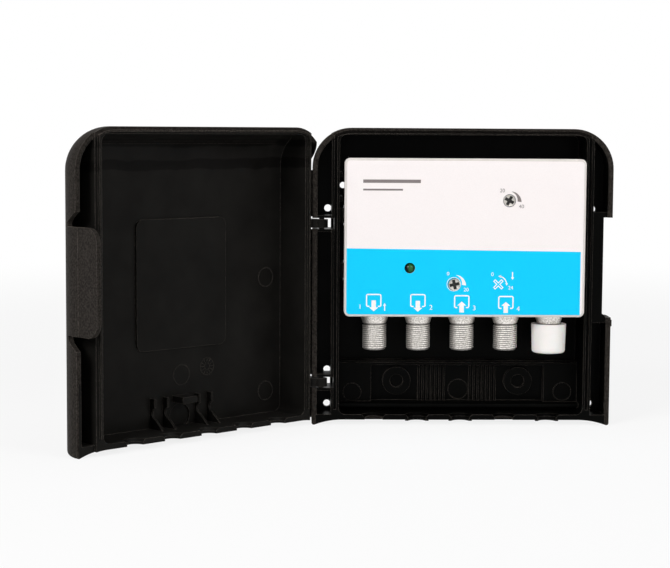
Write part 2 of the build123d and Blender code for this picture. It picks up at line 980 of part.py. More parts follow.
# Amplifier module: a metal chassis with a painted lid and a printed face
with BuildSketch() as module_outline:
    with Locations((0, module_middle)):
        RectangleRounded(module_width, module_height, module_corner_r)

with BuildSketch() as chassis_outline:
    offset(module_outline.sketch, amount=-lid_thickness - lid_clearance)

with BuildPart() as face_holes:
    face_span = (-module_front - overrun, -lid_inner + overrun)
    add(stud(led_x, led_height, led_hole_r, face_span))
    for x, height in trimmer_places:
        add(stud(x, height, trimmer_hole_r, face_span))

with BuildPart() as module_lid:
    with BuildSketch(front(lid_skirt - lid_front)):
        add(module_outline.sketch)
    extrude(amount=lid_skirt)
    fillet(module_lid.edges().group_by(Axis.Y)[0], lid_thickness / 2)
    with BuildSketch(front(lid_skirt - lid_front)):
        offset(module_outline.sketch, amount=-lid_thickness)
    extrude(amount=lid_skirt - lid_thickness, mode=Mode.SUBTRACT)
    add(face_holes.part, mode=Mode.SUBTRACT)
save(module_lid.part, "module_lid")

with BuildPart() as face_label:
    with BuildSketch(front(-lid_front)):
        offset(module_outline.sketch, amount=-label_inset)
    extrude(amount=label_thickness)
    add(face_holes.part, mode=Mode.SUBTRACT)
save(face_label.part, "face_label")

# The board stands on four bosses of the chassis, clear of the ports' nuts
screw_x = board_half - board_screw_inset
screw_heights = (board_bottom + board_screw_inset, board_top - board_screw_inset)
screw_places = [(x, height) for x in (-screw_x, screw_x) for height in screw_heights]
screw_end_depth = board_front_depth + screw_length

with BuildPart() as module_chassis:
    with BuildSketch(front(chassis_back_depth)):
        add(chassis_outline.sketch)
    extrude(amount=chassis_back_depth + lid_inner)
    with BuildSketch(front(chassis_floor_depth)):
        offset(chassis_outline.sketch, amount=-chassis_wall)
    extrude(amount=chassis_floor_depth + lid_inner, mode=Mode.SUBTRACT)
    for x, height in screw_places:
        add(stud(x, height, board_boss_r, (board_back_depth, chassis_floor_depth)))
    for x, height in screw_places:
        pilot_span = (board_back_depth, chassis_floor_depth)
        pilot = stud(x, height, screw_r + screw_pilot_gap, pilot_span)
        add(pilot, mode=Mode.SUBTRACT)
    for x in port_x:
        wall_span = (chassis_bottom - overrun, chassis_bottom + chassis_wall + overrun)
        add(upright(x, 0, port_neck_r + port_fit, wall_span), mode=Mode.SUBTRACT)
    lug_front = hook_front_depth + hook_barb_height + lug_gap
    for height in hook_heights:
        lug_heights = (height - lug_width / 2, height + lug_width / 2)
        lug_depths = (lug_front, lug_front + lug_thickness)
        for side in (-1, 1):
            lug_x = (side * chassis_width / 2 - lug_rise, side * chassis_width / 2 + lug_rise)
            add(block(lug_x, lug_heights, lug_depths))
save(module_chassis.part, "module_chassis")

with BuildPart() as circuit_board:
    add(
        block(
            (-board_half, board_half),
            (board_bottom, board_top),
            (board_front_depth, board_back_depth),
        )
    )
    for x, height in screw_places:
        hole_span = (board_front_depth - overrun, board_back_depth + overrun)
        add(stud(x, height, screw_r + screw_pilot_gap, hole_span), mode=Mode.SUBTRACT)
save(circuit_board.part, "circuit_board")

with BuildPart() as board_screws:
    for x, height in screw_places:
        add(stud(x, height, screw_r, (board_front_depth, screw_end_depth)))
        head_span = (board_front_depth - screw_head_height, board_front_depth)
        add(stud(x, height, screw_head_r, head_span))
    rims = board_screws.edges().group_by(Axis.Y)[0]
    fillet(rims, screw_head_height / 3)
save(board_screws.part, "board_screws")


# Ports: threaded body, insulator and contact, all turned about one upright axis
def turned(points):
    # Solid of revolution about the upright axis through x = 0 at the parting plane
    with BuildPart() as made:
        with BuildSketch(front(0)):
            with BuildLine():
                Polyline(*points, close=True)
            make_face()
        revolve(axis=Axis((0, parting_y, 0), (0, 0, 1)))
    return made.part


collar_bottom = chassis_bottom - port_collar_length
neck_top = chassis_bottom + port_neck_length
bore_top = port_end_height + port_bore_depth
tube_bore_r = insulator_tube_r + port_fit
port_body = turned(
    (
        (port_bore_r, port_end_height),
        (thread_r - thread_chamfer, port_end_height),
        (thread_r, port_end_height + thread_chamfer),
        (thread_r, collar_bottom),
        (port_collar_r, collar_bottom),
        (port_collar_r, chassis_bottom),
        (port_neck_r, chassis_bottom),
        (port_neck_r, neck_top),
        (tube_bore_r, neck_top),
        (tube_bore_r, bore_top),
        (port_bore_r, bore_top),
    )
)
disc_bottom = port_end_height + insulator_setback
disc_top = disc_bottom + insulator_disc
contact_bottom = disc_bottom + insulator_disc / 2
contact_hole_r = contact_r + port_fit
port_insulator = turned(
    (
        (insulator_entry_r, disc_bottom + insulator_entry_r),
        (2 * insulator_entry_r, disc_bottom),
        (port_bore_r - port_fit, disc_bottom),
        (port_bore_r - port_fit, disc_top),
        (insulator_tube_r, disc_top),
        (insulator_tube_r, neck_top),
        (contact_hole_r, neck_top),
        (contact_hole_r, contact_bottom),
        (insulator_entry_r, contact_bottom),
    )
)
contact_start = contact_bottom + contact_setback
port_contact = turned(
    (
        (contact_bore_r, contact_start),
        (contact_r, contact_start),
        (contact_r, neck_top),
        (contact_tail_r, neck_top),
        (contact_tail_r, contact_tip),
        (0, contact_tip),
        (0, contact_start + contact_bore_depth),
        (contact_bore_r, contact_start + contact_bore_depth),
    )
)
for number, x in enumerate(port_x, start=1):
    place = Location((x, 0, 0))
    save(port_body.moved(place), f"f_connector_{number}")
    save(port_insulator.moved(place), f"connector_insulator_{number}")
    save(port_contact.moved(place), f"connector_contact_{number}")

with BuildPart() as connector_nuts:
    nut_bottom = chassis_bottom + chassis_wall
    with BuildSketch(level(nut_bottom)):
        for x in port_x:
            with Locations((x, 0)):
                RegularPolygon(port_nut_r, 6)
                Circle(port_neck_r + port_fit, mode=Mode.SUBTRACT)
    extrude(amount=port_nut_thickness)
save(connector_nuts.part, "connector_nuts")

# Pull-off cap on the last port
cap_bottom = port_end_height - cap_end_gap - cap_end_wall
cap_top = chassis_bottom - port_collar_length - cap_collar_gap
cap_bore_r = thread_r + running_clearance
with BuildPart() as dust_cap:
    with BuildSketch(front(0)) as cap_profile:
        with BuildLine():
            Polyline(
                (0, cap_bottom),
                (cap_bottom_r, cap_bottom),
                (cap_top_r, cap_top),
                (cap_bore_r + cap_mouth_chamfer, cap_top),
                (cap_bore_r, cap_top - cap_mouth_chamfer),
                (cap_bore_r, cap_bottom + cap_end_wall),
                (0, cap_bottom + cap_end_wall),
                close=True,
            )
        make_face()
        corner = cap_profile.vertices().group_by(Axis.Y)[0].sort_by(Axis.X)[-1]
        fillet(corner, cap_round)
    revolve(axis=Axis((0, parting_y, 0), (0, 0, 1)))
save(dust_cap.part.moved(Location((port_x[-1], 0, 0))), "dust_cap")

# Signal lamp on its legs
with BuildPart() as power_led:
    dome_back = led_r - led_dome_front
    body_back = led_body_length - led_dome_front
    add(stud(led_x, led_height, led_r, (dome_back, body_back)))
    dome = Sphere(led_r, mode=Mode.PRIVATE)
    add(dome.moved(front(dome_back).location * Location((led_x, led_height, 0))))
    add(stud(led_x, led_height, led_flange_r, (body_back, body_back + led_flange)))
    for side in (-1, 1):
        leg_x = led_x + side * led_leg_spacing / 2
        add(
            block(
                (leg_x - led_leg / 2, leg_x + led_leg / 2),
                (led_height - led_leg / 2, led_height + led_leg / 2),
                (body_back, board_front_depth),
            )
        )
save(power_led.part, "power_led")

# Gain trimmers: a fixed body on the board, and a slotted rotor that turns in its bore
body_front = trimmer_lid_gap - lid_inner
rotor_back = trimmer_rotor_length - trimmer_rotor_front
for number, (x, height) in enumerate(trimmer_places, start=1):
    with BuildPart() as trimmer:
        with BuildSketch(front(board_front_depth)):
            with Locations((x, height)):
                RectangleRounded(trimmer_body, trimmer_body, trimmer_body_corner)
        extrude(amount=board_front_depth - body_front)
        bore_span = (body_front - overrun, rotor_back + running_clearance)
        bore = stud(x, height, trimmer_rotor_r + running_clearance, bore_span)
        add(bore, mode=Mode.SUBTRACT)
    save(trimmer.part, f"trimmer_body_{number}")
    with BuildPart() as rotor:
        add(stud(x, height, trimmer_rotor_r, (-trimmer_rotor_front, rotor_back)))
        add(
            block(
                (x - trimmer_rotor_r - overrun, x + trimmer_rotor_r + overrun),
                (height - trimmer_slot / 2, height + trimmer_slot / 2),
                (-trimmer_rotor_front - overrun, trimmer_slot_depth - trimmer_rotor_front),
            ),
            mode=Mode.SUBTRACT,
        )
    save(rotor.part, f"trimmer_rotor_{number}")

# Shield between the two amplifier stages, standing on the board
with BuildPart() as shield_partition:
    with BuildSketch(front(board_front_depth)):
        with BuildLine():
            Polyline(
                (partition_x, board_bottom + partition_slot),
                (partition_x, board_top),
                (partition_x + partition_thickness, board_top),
                (partition_x + partition_thickness, partition_height + partition_thickness),
                (board_half, partition_height + partition_thickness),
                (board_half, partition_height),
                (partition_x + partition_thickness, partition_height),
                (partition_x + partition_thickness, board_bottom + partition_slot),
                close=True,
            )
        make_face()
    extrude(amount=board_front_depth + lid_inner - partition_gap)
save(shield_partition.part, "shield_partition")

# Parts soldered to the board
with BuildPart() as amplifier_chips:
    with BuildSketch(front(board_front_depth)):
        with Locations(*chip_places):
            Rectangle(chip_width, chip_height)
    extrude(amount=chip_thickness)
    chamfer(amplifier_chips.edges().group_by(Axis.Y)[0], chip_bevel)
save(amplifier_chips.part, "amplifier_chips")

with BuildPart() as capacitors:
    with BuildSketch(front(board_front_depth)):
        with Locations(*capacitor_places):
            Circle(capacitor_r)
    extrude(amount=capacitor_length)
    fillet(capacitors.edges().group_by(Axis.Y)[0], capacitor_round)
save(capacitors.part, "capacitors")

with BuildPart() as ferrite_cores:
    with BuildSketch(front(board_front_depth)):
        with Locations(*core_places):
            Rectangle(core_width, core_height)
    extrude(amount=core_thickness)
    for x, height in core_places:
        for side in (-1, 1):
            bore_x = x + side * core_bore_spacing / 2
            bore_depth = board_front_depth - core_thickness / 2
            bore_span = (height - core_height, height + core_height)
            add(upright(bore_x, bore_depth, core_bore_r, bore_span), mode=Mode.SUBTRACT)
save(ferrite_cores.part, "ferrite_cores")

with BuildPart() as voltage_regulator:
    regulator_bottom = regulator_middle - regulator_height / 2
    regulator_top = regulator_middle + regulator_height / 2
    regulator_sides = (
        regulator_x - regulator_width / 2,
        regulator_x + regulator_width / 2,
    )
    body_depths = (board_front_depth - regulator_thickness, board_front_depth)
    add(block(regulator_sides, (regulator_bottom, regulator_top), body_depths))
    chamfer(voltage_regulator.edges().group_by(Axis.Y)[0], chip_bevel)
    tab_depths = (board_front_depth - regulator_tab_thickness, board_front_depth)
    tab_heights = (regulator_top, regulator_top + regulator_tab_height)
    add(block(regulator_sides, tab_heights, tab_depths))
save(voltage_regulator.part, "voltage_regulator")
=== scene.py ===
import bpy
from math import cos, pi, radians, sin
from mathutils import Matrix, Vector


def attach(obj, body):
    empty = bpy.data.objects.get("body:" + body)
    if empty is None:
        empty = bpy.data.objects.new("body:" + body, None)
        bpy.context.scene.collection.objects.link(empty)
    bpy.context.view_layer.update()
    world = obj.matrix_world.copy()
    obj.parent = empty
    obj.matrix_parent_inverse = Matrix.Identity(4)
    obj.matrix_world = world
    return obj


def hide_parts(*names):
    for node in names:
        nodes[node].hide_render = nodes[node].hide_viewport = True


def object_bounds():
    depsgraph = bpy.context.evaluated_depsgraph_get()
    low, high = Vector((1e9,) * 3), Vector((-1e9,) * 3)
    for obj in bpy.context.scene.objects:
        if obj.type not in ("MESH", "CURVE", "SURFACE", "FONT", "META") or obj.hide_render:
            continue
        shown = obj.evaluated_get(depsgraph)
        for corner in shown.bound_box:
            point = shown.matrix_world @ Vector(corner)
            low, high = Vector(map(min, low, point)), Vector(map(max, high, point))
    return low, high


# Mast amplifier for television signals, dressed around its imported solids.
# Settings are in millimetres and degrees; Blender gets metres.

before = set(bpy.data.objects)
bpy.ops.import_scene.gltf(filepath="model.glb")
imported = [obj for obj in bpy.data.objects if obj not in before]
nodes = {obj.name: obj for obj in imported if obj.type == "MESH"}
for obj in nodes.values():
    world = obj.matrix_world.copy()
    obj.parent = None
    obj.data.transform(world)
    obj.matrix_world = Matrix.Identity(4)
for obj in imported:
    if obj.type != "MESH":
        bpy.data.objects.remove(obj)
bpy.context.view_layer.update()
mm = 0.001

caseFrame = {
    "partingDepth": 22.0,  # the parting plane lies this far in front of the origin
    "originHeight": 13.5,  # the origin lies this far above the sill line
    "hinge": (-56.3, 1.6, 0),  # x, depth and height of a point on the hinge's axis
    "openAngle": 138.0,  # the cover rests open by this angle
    "portPitch": 17.5,
}


def place(x, depth, height):
    # Point given by x, the depth behind the parting plane and the height above the sill
    y = depth - caseFrame["partingDepth"]
    return Vector((x, y, height - caseFrame["originHeight"])) * mm


# Camera: the photograph's own viewpoint
viewSettings = {
    "position": (-67.588, -709.117, 103.347),
    "downward": 5.161,
    "turnRight": 1.393,
    "roll": 0.346,
    "focalPixels": 1727.37,
    "imageWidth": 670,
    "sensorWidth": 36.0,
    "farthest": 30.0,  # metres
}


def aimCamera(settings):
    down, turn, roll = (radians(settings[k]) for k in ("downward", "turnRight", "roll"))
    right = Vector((cos(turn), -sin(turn), 0))
    forward = Vector((sin(turn) * cos(down), cos(turn) * cos(down), -sin(down)))
    up = right.cross(forward)
    camRight = cos(roll) * right + sin(roll) * up
    camUp = -sin(roll) * right + cos(roll) * up
    turned = Matrix((camRight, camUp, -forward)).transposed()
    bpy.ops.object.camera_add()
    camera = bpy.context.object
    camera.name = "photoCamera"
    position = Vector(settings["position"]) * mm
    camera.matrix_world = Matrix.Translation(position) @ turned.to_4x4()
    camera.data.sensor_width = settings["sensorWidth"]
    pixelsPerMillimetre = settings["imageWidth"] / settings["sensorWidth"]
    camera.data.lens = settings["focalPixels"] / pixelsPerMillimetre
    camera.data.clip_end = settings["farthest"]
    bpy.context.scene.camera = camera


aimCamera(viewSettings)
print("camera set")


# Node materials
def srgb(code):
    # Hex colour as written, turned to the linear values that the shader takes
    shares = [int(code[i : i + 2], 16) / 255 for i in (1, 3, 5)]
    linear = [s / 12.92 if s <= 0.04045 else ((s + 0.055) / 1.055) ** 2.4 for s in shares]
    return (*linear, 1)


def linkInputs(tree, node, links):
    # A source is an output, or a node of which the first output is meant
    for key, source in links.items():
        output = source.outputs[0] if isinstance(source, bpy.types.Node) else source
        tree.links.new(output, node.inputs[key])


def addNode(tree, kind, settings=None, links=None):
    # Adds one node with its settings and links; a key is an input's name or number, or
    # one of the node's own properties
    node = tree.nodes.new(kind)
    for key, value in (settings or {}).items():
        if isinstance(key, int) or key in node.inputs:
            node.inputs[key].default_value = value
        else:
            setattr(node, key, value)
    linkInputs(tree, node, links or {})
    return node


def emptyMaterial(name):
    material = bpy.data.materials.new(name)
    material.use_nodes = True
    material.node_tree.nodes.clear()
    return material, material.node_tree


def startMaterial(name, settings):
    # New material with its shader, output and Object coordinates
    material, tree = emptyMaterial(name)
    shader = addNode(tree, "ShaderNodeBsdfPrincipled", settings)
    addNode(tree, "ShaderNodeOutputMaterial", {}, {"Surface": shader})
    coords = addNode(tree, "ShaderNodeTexCoord").outputs["Object"]
    return material, tree, shader, coords


def perMetre(size):
    # Pattern scale for features of a size in millimetres
    return 1 / (size * mm)


absSettings = {
    # Inside tones of the base and the cover, one plastic: the base's are darker, a painted shade
    # for its deep tray
    "baseInside": ("#020202", "#060605"),
    "coverInside": ("#0e0d0c", "#201f1d"),
    # Outside tones: lighter partly for the dull grain and partly as a painted sheen
    "outsideDeep": "#1a1715",
    "outsideLight": "#37332f",
    # Edge colour, a painted highlight
    "paintedEdgeHighlight": "#6f6861",
    "flow": 14.0,  # size of the glossier patches that the melt's flow leaves
    # Bands near the cover's top where the inside tone is painted darker, a painted reflection:
    # height, half width, waver
    "paintedReflectionBands": ((110.8, 1.0, 2.5), (102.6, 1.7, 4.0)),
    "bandTone": 0.5,
    "bandEdge": 0.7,
    "grain": 0.45,
    "blotch": 0.6,
    "streak": 0.8,  # below 1 the blotches are drawn out along the height
    "edge": 0.3,
    "skin": 1.8,  # how far below the outline a point still counts as outside
    # Low in the cover it is thinner, since a scoop cuts into the wall from inside
    "lowSkin": 1.0,
    "lowEnd": 25.0,
    # Half sizes and rounding of the outlines. They reach far below the sill, because
    # only the shoulders are round.
    "coverBox": (60.0, 18.0, 88.5, 15.5),
    "baseBox": (60.0, 88.5, 16.0),
    "middleHeight": 28.5,
    "trayHalf": 52.3,
    "wingDepth": 13.5,
    "backDepth": 22.0,
}


def above(tree, value, limit):
    # 1 where a value in metres is over a limit in millimetres
    settings = {"operation": "GREATER_THAN", 1: limit * mm}
    return addNode(tree, "ShaderNodeMath", settings, {0: value})


def boxDistance(tree, point, halves, rounding):
    # Distance of a point from the core of a box with rounded edges
    core = [max(half - rounding, 0) * mm for half in halves]
    folded = addNode(tree, "ShaderNodeVectorMath", {"operation": "ABSOLUTE"}, {0: point})
    beyond = addNode(
        tree, "ShaderNodeVectorMath", {"operation": "SUBTRACT", 1: core}, {0: folded}
    )
    kept = addNode(
        tree, "ShaderNodeVectorMath", {"operation": "MAXIMUM", 1: (0, 0, 0)}, {0: beyond}
    )
    reach = addNode(tree, "ShaderNodeVectorMath", {"operation": "LENGTH"}, {0: kept})
    return reach.outputs["Value"]


def coverOutside(tree, coords):
    # Swings the open cover's points shut, then takes the skin of its rounded box
    s = absSettings
    shut = addNode(
        tree,
        "ShaderNodeVectorRotate",
        {
            "rotation_type": "Z_AXIS",
            "Center": place(*caseFrame["hinge"]),
            "Angle": radians(caseFrame["openAngle"]),
        },
        {"Vector": coords},
    )
    centred = addNode(
        tree,
        "ShaderNodeVectorMath",
        {"operation": "SUBTRACT", 1: place(0, 0, s["middleHeight"])},
        {0: shut},
    )
    *halves, rounding = s["coverBox"]
    distance = boxDistance(tree, centred, halves, rounding)
    outer = above(tree, distance, rounding - s["lowSkin"])
    parts = addNode(tree, "ShaderNodeSeparateXYZ", {}, {0: centred}).outputs
    high = addNode(
        tree,
        "ShaderNodeMath",
        {"operation": "MULTIPLY"},
        {
            0: above(tree, distance, rounding - s["skin"]),
            1: above(tree, parts["Z"], s["lowEnd"] - s["middleHeight"]),
        },
    )
    return addNode(tree, "ShaderNodeMath", {"operation": "MAXIMUM"}, {0: outer, 1: high})


def baseOutside(tree, coords):
    # Skin of the outline, backs of the wings, sides and back of the tray
    s = absSettings
    centred = addNode(
        tree,
        "ShaderNodeVectorMath",
        {"operation": "SUBTRACT", 1: place(0, 0, s["middleHeight"])},
        {0: coords},
    )
    flat = addNode(
        tree, "ShaderNodeVectorMath", {"operation": "MULTIPLY", 1: (1, 0, 1)}, {0: centred}
    )
    halfWidth, halfHeight, rounding = s["baseBox"]
    distance = boxDistance(tree, flat, (halfWidth, rounding, halfHeight), rounding)
    rim = above(tree, distance, rounding - s["skin"])
    parts = addNode(tree, "ShaderNodeSeparateXYZ", {}, {0: centred}).outputs
    side = addNode(tree, "ShaderNodeMath", {"operation": "ABSOLUTE"}, {0: parts["X"]})
    wing = addNode(
        tree,
        "ShaderNodeMath",
        {"operation": "MULTIPLY"},
        {
            0: above(tree, side, s["trayHalf"] - s["skin"]),
            1: above(tree, parts["Y"], s["wingDepth"] - s["skin"]),
        },
    )
    back = above(tree, parts["Y"], s["backDepth"] - s["skin"])
    some = addNode(tree, "ShaderNodeMath", {"operation": "MAXIMUM"}, {0: rim, 1: wing})
    return addNode(tree, "ShaderNodeMath", {"operation": "MAXIMUM"}, {0: some, 1: back})


def flowBand(tree, coords, flow, band):
    # Painted reflection band: the tone factor is low inside a level band that wavers with the
    # flow, and 1 outside it
    s = absSettings
    height, half, waver = band
    parts = addNode(tree, "ShaderNodeSeparateXYZ", {}, {0: coords}).outputs
    middle = height - caseFrame["originHeight"] - waver / 2
    offset = addNode(
        tree,
        "ShaderNodeMath",
        {"operation": "MULTIPLY_ADD", 1: waver * mm, 2: middle * mm},
        {0: flow},
    )
    away = addNode(
        tree, "ShaderNodeMath", {"operation": "SUBTRACT"}, {0: parts["Z"], 1: offset}
    )
    distance = addNode(tree, "ShaderNodeMath", {"operation": "ABSOLUTE"}, {0: away})
    return addNode(
        tree,
        "ShaderNodeMapRange",
        {
            "interpolation_type": "SMOOTHSTEP",
            "From Min": half * mm,
            "From Max": (half + s["bandEdge"]) * mm,
            "To Min": s["bandTone"],
            "To Max": 1.0,
        },
        {"Value": distance},
    )


def mouldedAbs(name, outsideOf, insideTones, paintedReflectionBands=()):
    # Black ABS, injection moulded. Inside it copies a polished tool: deep black with a soft gloss.
    # Outside it copies a spark-eroded one: a dull, lighter, mottled grain, its lighter tone partly
    # a painted sheen. Along the edges it is painted a little grey, a painted highlight.
    s = absSettings
    material, tree, shader, coords = startMaterial(name, {"IOR": 1.53, "Specular IOR Level": 0.03})
    outside = outsideOf(tree, coords)
    flow = addNode(
        tree,
        "ShaderNodeTexNoise",
        {"Scale": perMetre(s["flow"]), "Detail": 3},
        {"Vector": coords},
    )
    drawn = addNode(
        tree, "ShaderNodeMapping", {"Scale": (1, 1, s["streak"])}, {"Vector": coords}
    )
    blotch = addNode(
        tree,
        "ShaderNodeTexNoise",
        {"Scale": perMetre(s["blotch"]), "Detail": 4, "Roughness": 0.65},
        {"Vector": drawn},
    )
    mottle = addNode(
        tree, "ShaderNodeMapRange", {"From Min": 0.4, "From Max": 0.66}, {"Value": blotch}
    )
    grain = addNode(
        tree,
        "ShaderNodeTexNoise",
        {"Scale": perMetre(s["grain"]), "Detail": 2, "Roughness": 0.6},
        {"Vector": coords},
    )
    inner = addNode(
        tree,
        "ShaderNodeMix",
        {"data_type": "RGBA", 6: srgb(insideTones[0]), 7: srgb(insideTones[1])},
        {0: flow},
    )
    insideTone = inner.outputs[2]
    for band in paintedReflectionBands:
        insideTone = addNode(
            tree,
            "ShaderNodeVectorMath",
            {"operation": "SCALE"},
            {0: insideTone, "Scale": flowBand(tree, coords, flow, band)},
        )
    outer = addNode(
        tree,
        "ShaderNodeMix",
        {"data_type": "RGBA", 6: srgb(s["outsideDeep"]), 7: srgb(s["outsideLight"])},
        {0: mottle},
    )
    tone = addNode(
        tree,
        "ShaderNodeMix",
        {"data_type": "RGBA"},
        {0: outside, 6: insideTone, 7: outer.outputs[2]},
    )

    # Painted highlight along the edges: where the rounded normal leaves the true one, and only in
    # patches
    edge = addNode(tree, "ShaderNodeBevel", {"samples": 4, "Radius": s["edge"] * mm})
    geometry = addNode(tree, "ShaderNodeNewGeometry")
    agree = addNode(
        tree,
        "ShaderNodeVectorMath",
        {"operation": "DOT_PRODUCT"},
        {0: edge, 1: geometry.outputs["True Normal"]},
    )
    onEdge = addNode(
        tree,
        "ShaderNodeMapRange",
        {"From Min": 0.97, "From Max": 0.8, "To Min": 0.0, "To Max": 1.0},
        {"Value": agree.outputs["Value"]},
    )
    patch = addNode(
        tree,
        "ShaderNodeMapRange",
        {"From Min": 0.42, "From Max": 0.62, "To Min": 0.35, "To Max": 1.0},
        {"Value": blotch},
    )
    paintedEdgeHighlight = addNode(tree, "ShaderNodeMath", {"operation": "MULTIPLY"}, {0: onEdge, 1: patch})
    variedTone = addNode(
        tree,
        "ShaderNodeMix",
        {"data_type": "RGBA", 7: srgb(s["paintedEdgeHighlight"])},
        {0: paintedEdgeHighlight, 6: tone.outputs[2]},
    )
    polish = addNode(
        tree,
        "ShaderNodeMapRange",
        {"From Min": 0.3, "From Max": 0.7, "To Min": 0.28, "To Max": 0.4},
        {"Value": flow},
    )
    gloss = addNode(
        tree, "ShaderNodeMix", {"data_type": "FLOAT", 3: 0.55}, {0: outside, 2: polish}
    )
    depth = addNode(
        tree, "ShaderNodeMapRange", {"To Min": 0.12, "To Max": 0.6}, {"Value": outside}
    )
    bump = addNode(
        tree,
        "ShaderNodeBump",
        {"Distance": 0.06 * mm},
        {"Strength": depth, "Height": grain, "Normal": edge},
    )
    linkInputs(tree, shader, {"Base Color": variedTone.outputs[2], "Roughness": gloss, "Normal": bump})
    return material


labelSettings = {
    "upper": "#f6efee",
    "lower": "#0acdfb",
    "edgeHeight": 69.27,  # height of the colour boundary at the middle
    "tilt": -0.65,
    "blueEnd": 45.75,  # the blue stops short of the film's right edge, where white shows
    "grain": 0.35,
}


def printedFilm():
    # Vinyl film printed in two flat colours: even, satin, with a faint screen grain
    film = labelSettings
    material, tree, shader, coords = startMaterial(
        "printedVinylFilm", {"Roughness": 0.4, "Specular IOR Level": 0.15}
    )
    centre = place(0, 0, film["edgeHeight"])
    turned = addNode(
        tree,
        "ShaderNodeMapping",
        {"vector_type": "TEXTURE", "Location": centre, "Rotation": (0, -radians(film["tilt"]), 0)},
        {"Vector": coords},
    )
    split = addNode(tree, "ShaderNodeSeparateXYZ", {}, {0: turned})
    upper = addNode(
        tree, "ShaderNodeMath", {"operation": "GREATER_THAN", 1: 0.0}, {0: split.outputs["Z"]}
    )
    flat = addNode(tree, "ShaderNodeSeparateXYZ", {}, {0: coords})
    margin = addNode(
        tree,
        "ShaderNodeMath",
        {"operation": "GREATER_THAN", 1: film["blueEnd"] * mm},
        {0: flat.outputs["X"]},
    )
    pale = addNode(tree, "ShaderNodeMath", {"operation": "MAXIMUM"}, {0: upper, 1: margin})
    grain = addNode(
        tree,
        "ShaderNodeTexNoise",
        {"Scale": perMetre(film["grain"]), "Detail": 1},
        {"Vector": coords},
    )
    colour = addNode(
        tree,
        "ShaderNodeMix",
        {"data_type": "RGBA", 6: srgb(film["lower"]), 7: srgb(film["upper"])},
        {0: pale},
    )
    variedTone = addNode(
        tree,
        "ShaderNodeMapRange",
        {"From Min": 0.3, "From Max": 0.7, "To Min": 0.97, "To Max": 1.0},
        {"Value": grain},
    )
    toned = addNode(
        tree,
        "ShaderNodeVectorMath",
        {"operation": "SCALE"},
        {0: colour.outputs[2], "Scale": variedTone},
    )
    linkInputs(tree, shader, {"Base Color": toned})
    return material


def nickelPlate():
    # Nickel plate over turned brass: pale, slightly warm and speckled, with a painted shade in the
    # thread's grooves
    plate = {
        "bright": "#fbf7f2",
        "dull": "#c4bfb9",
        "cloud": 0.5,
        "root": 4.36,  # radii of the thread
        "crest": 4.72,
    }
    material, tree, shader, coords = startMaterial("nickelPlatedBrass", {"Metallic": 1.0})
    cloud = addNode(
        tree,
        "ShaderNodeTexNoise",
        {"Scale": perMetre(plate["cloud"]), "Detail": 3},
        {"Vector": coords},
    )
    # Distance from the nearest port's axis: the thread's grooves are painted dim, a painted shade
    parts = addNode(tree, "ShaderNodeSeparateXYZ", {}, {0: coords}).outputs
    half = caseFrame["portPitch"] / 2 * mm
    across = addNode(
        tree, "ShaderNodeMath", {"operation": "WRAP", 1: half, 2: -half}, {0: parts["X"]}
    )
    back = addNode(
        tree,
        "ShaderNodeMath",
        {"operation": "ADD", 1: caseFrame["partingDepth"] * mm},
        {0: parts["Y"]},
    )
    flat = addNode(tree, "ShaderNodeCombineXYZ", {}, {0: across, 1: back})
    radius = addNode(tree, "ShaderNodeVectorMath", {"operation": "LENGTH"}, {0: flat})
    threadShade = addNode(
        tree,
        "ShaderNodeMapRange",
        {
            "From Min": plate["root"] * mm,
            "From Max": plate["crest"] * mm,
            "To Min": 0.3,
            "To Max": 1.0,
        },
        {"Value": radius.outputs["Value"]},
    )
    speckle = addNode(
        tree, "ShaderNodeMapRange", {"From Min": 0.35, "From Max": 0.6}, {"Value": cloud}
    )
    tone = addNode(
        tree,
        "ShaderNodeMix",
        {"data_type": "RGBA", 6: srgb(plate["dull"]), 7: srgb(plate["bright"])},
        {0: speckle},
    )
    shown = addNode(
        tree,
        "ShaderNodeVectorMath",
        {"operation": "SCALE"},
        {0: tone.outputs[2], "Scale": threadShade},
    )
    gloss = addNode(
        tree,
        "ShaderNodeMapRange",
        {"From Min": 0.3, "From Max": 0.7, "To Min": 0.58, "To Max": 0.46},
        {"Value": cloud},
    )
    bump = addNode(
        tree, "ShaderNodeBump", {"Strength": 0.3, "Distance": 0.05 * mm}, {"Height": cloud}
    )
    linkInputs(tree, shader, {"Base Color": shown, "Roughness": gloss, "Normal": bump})
    return material


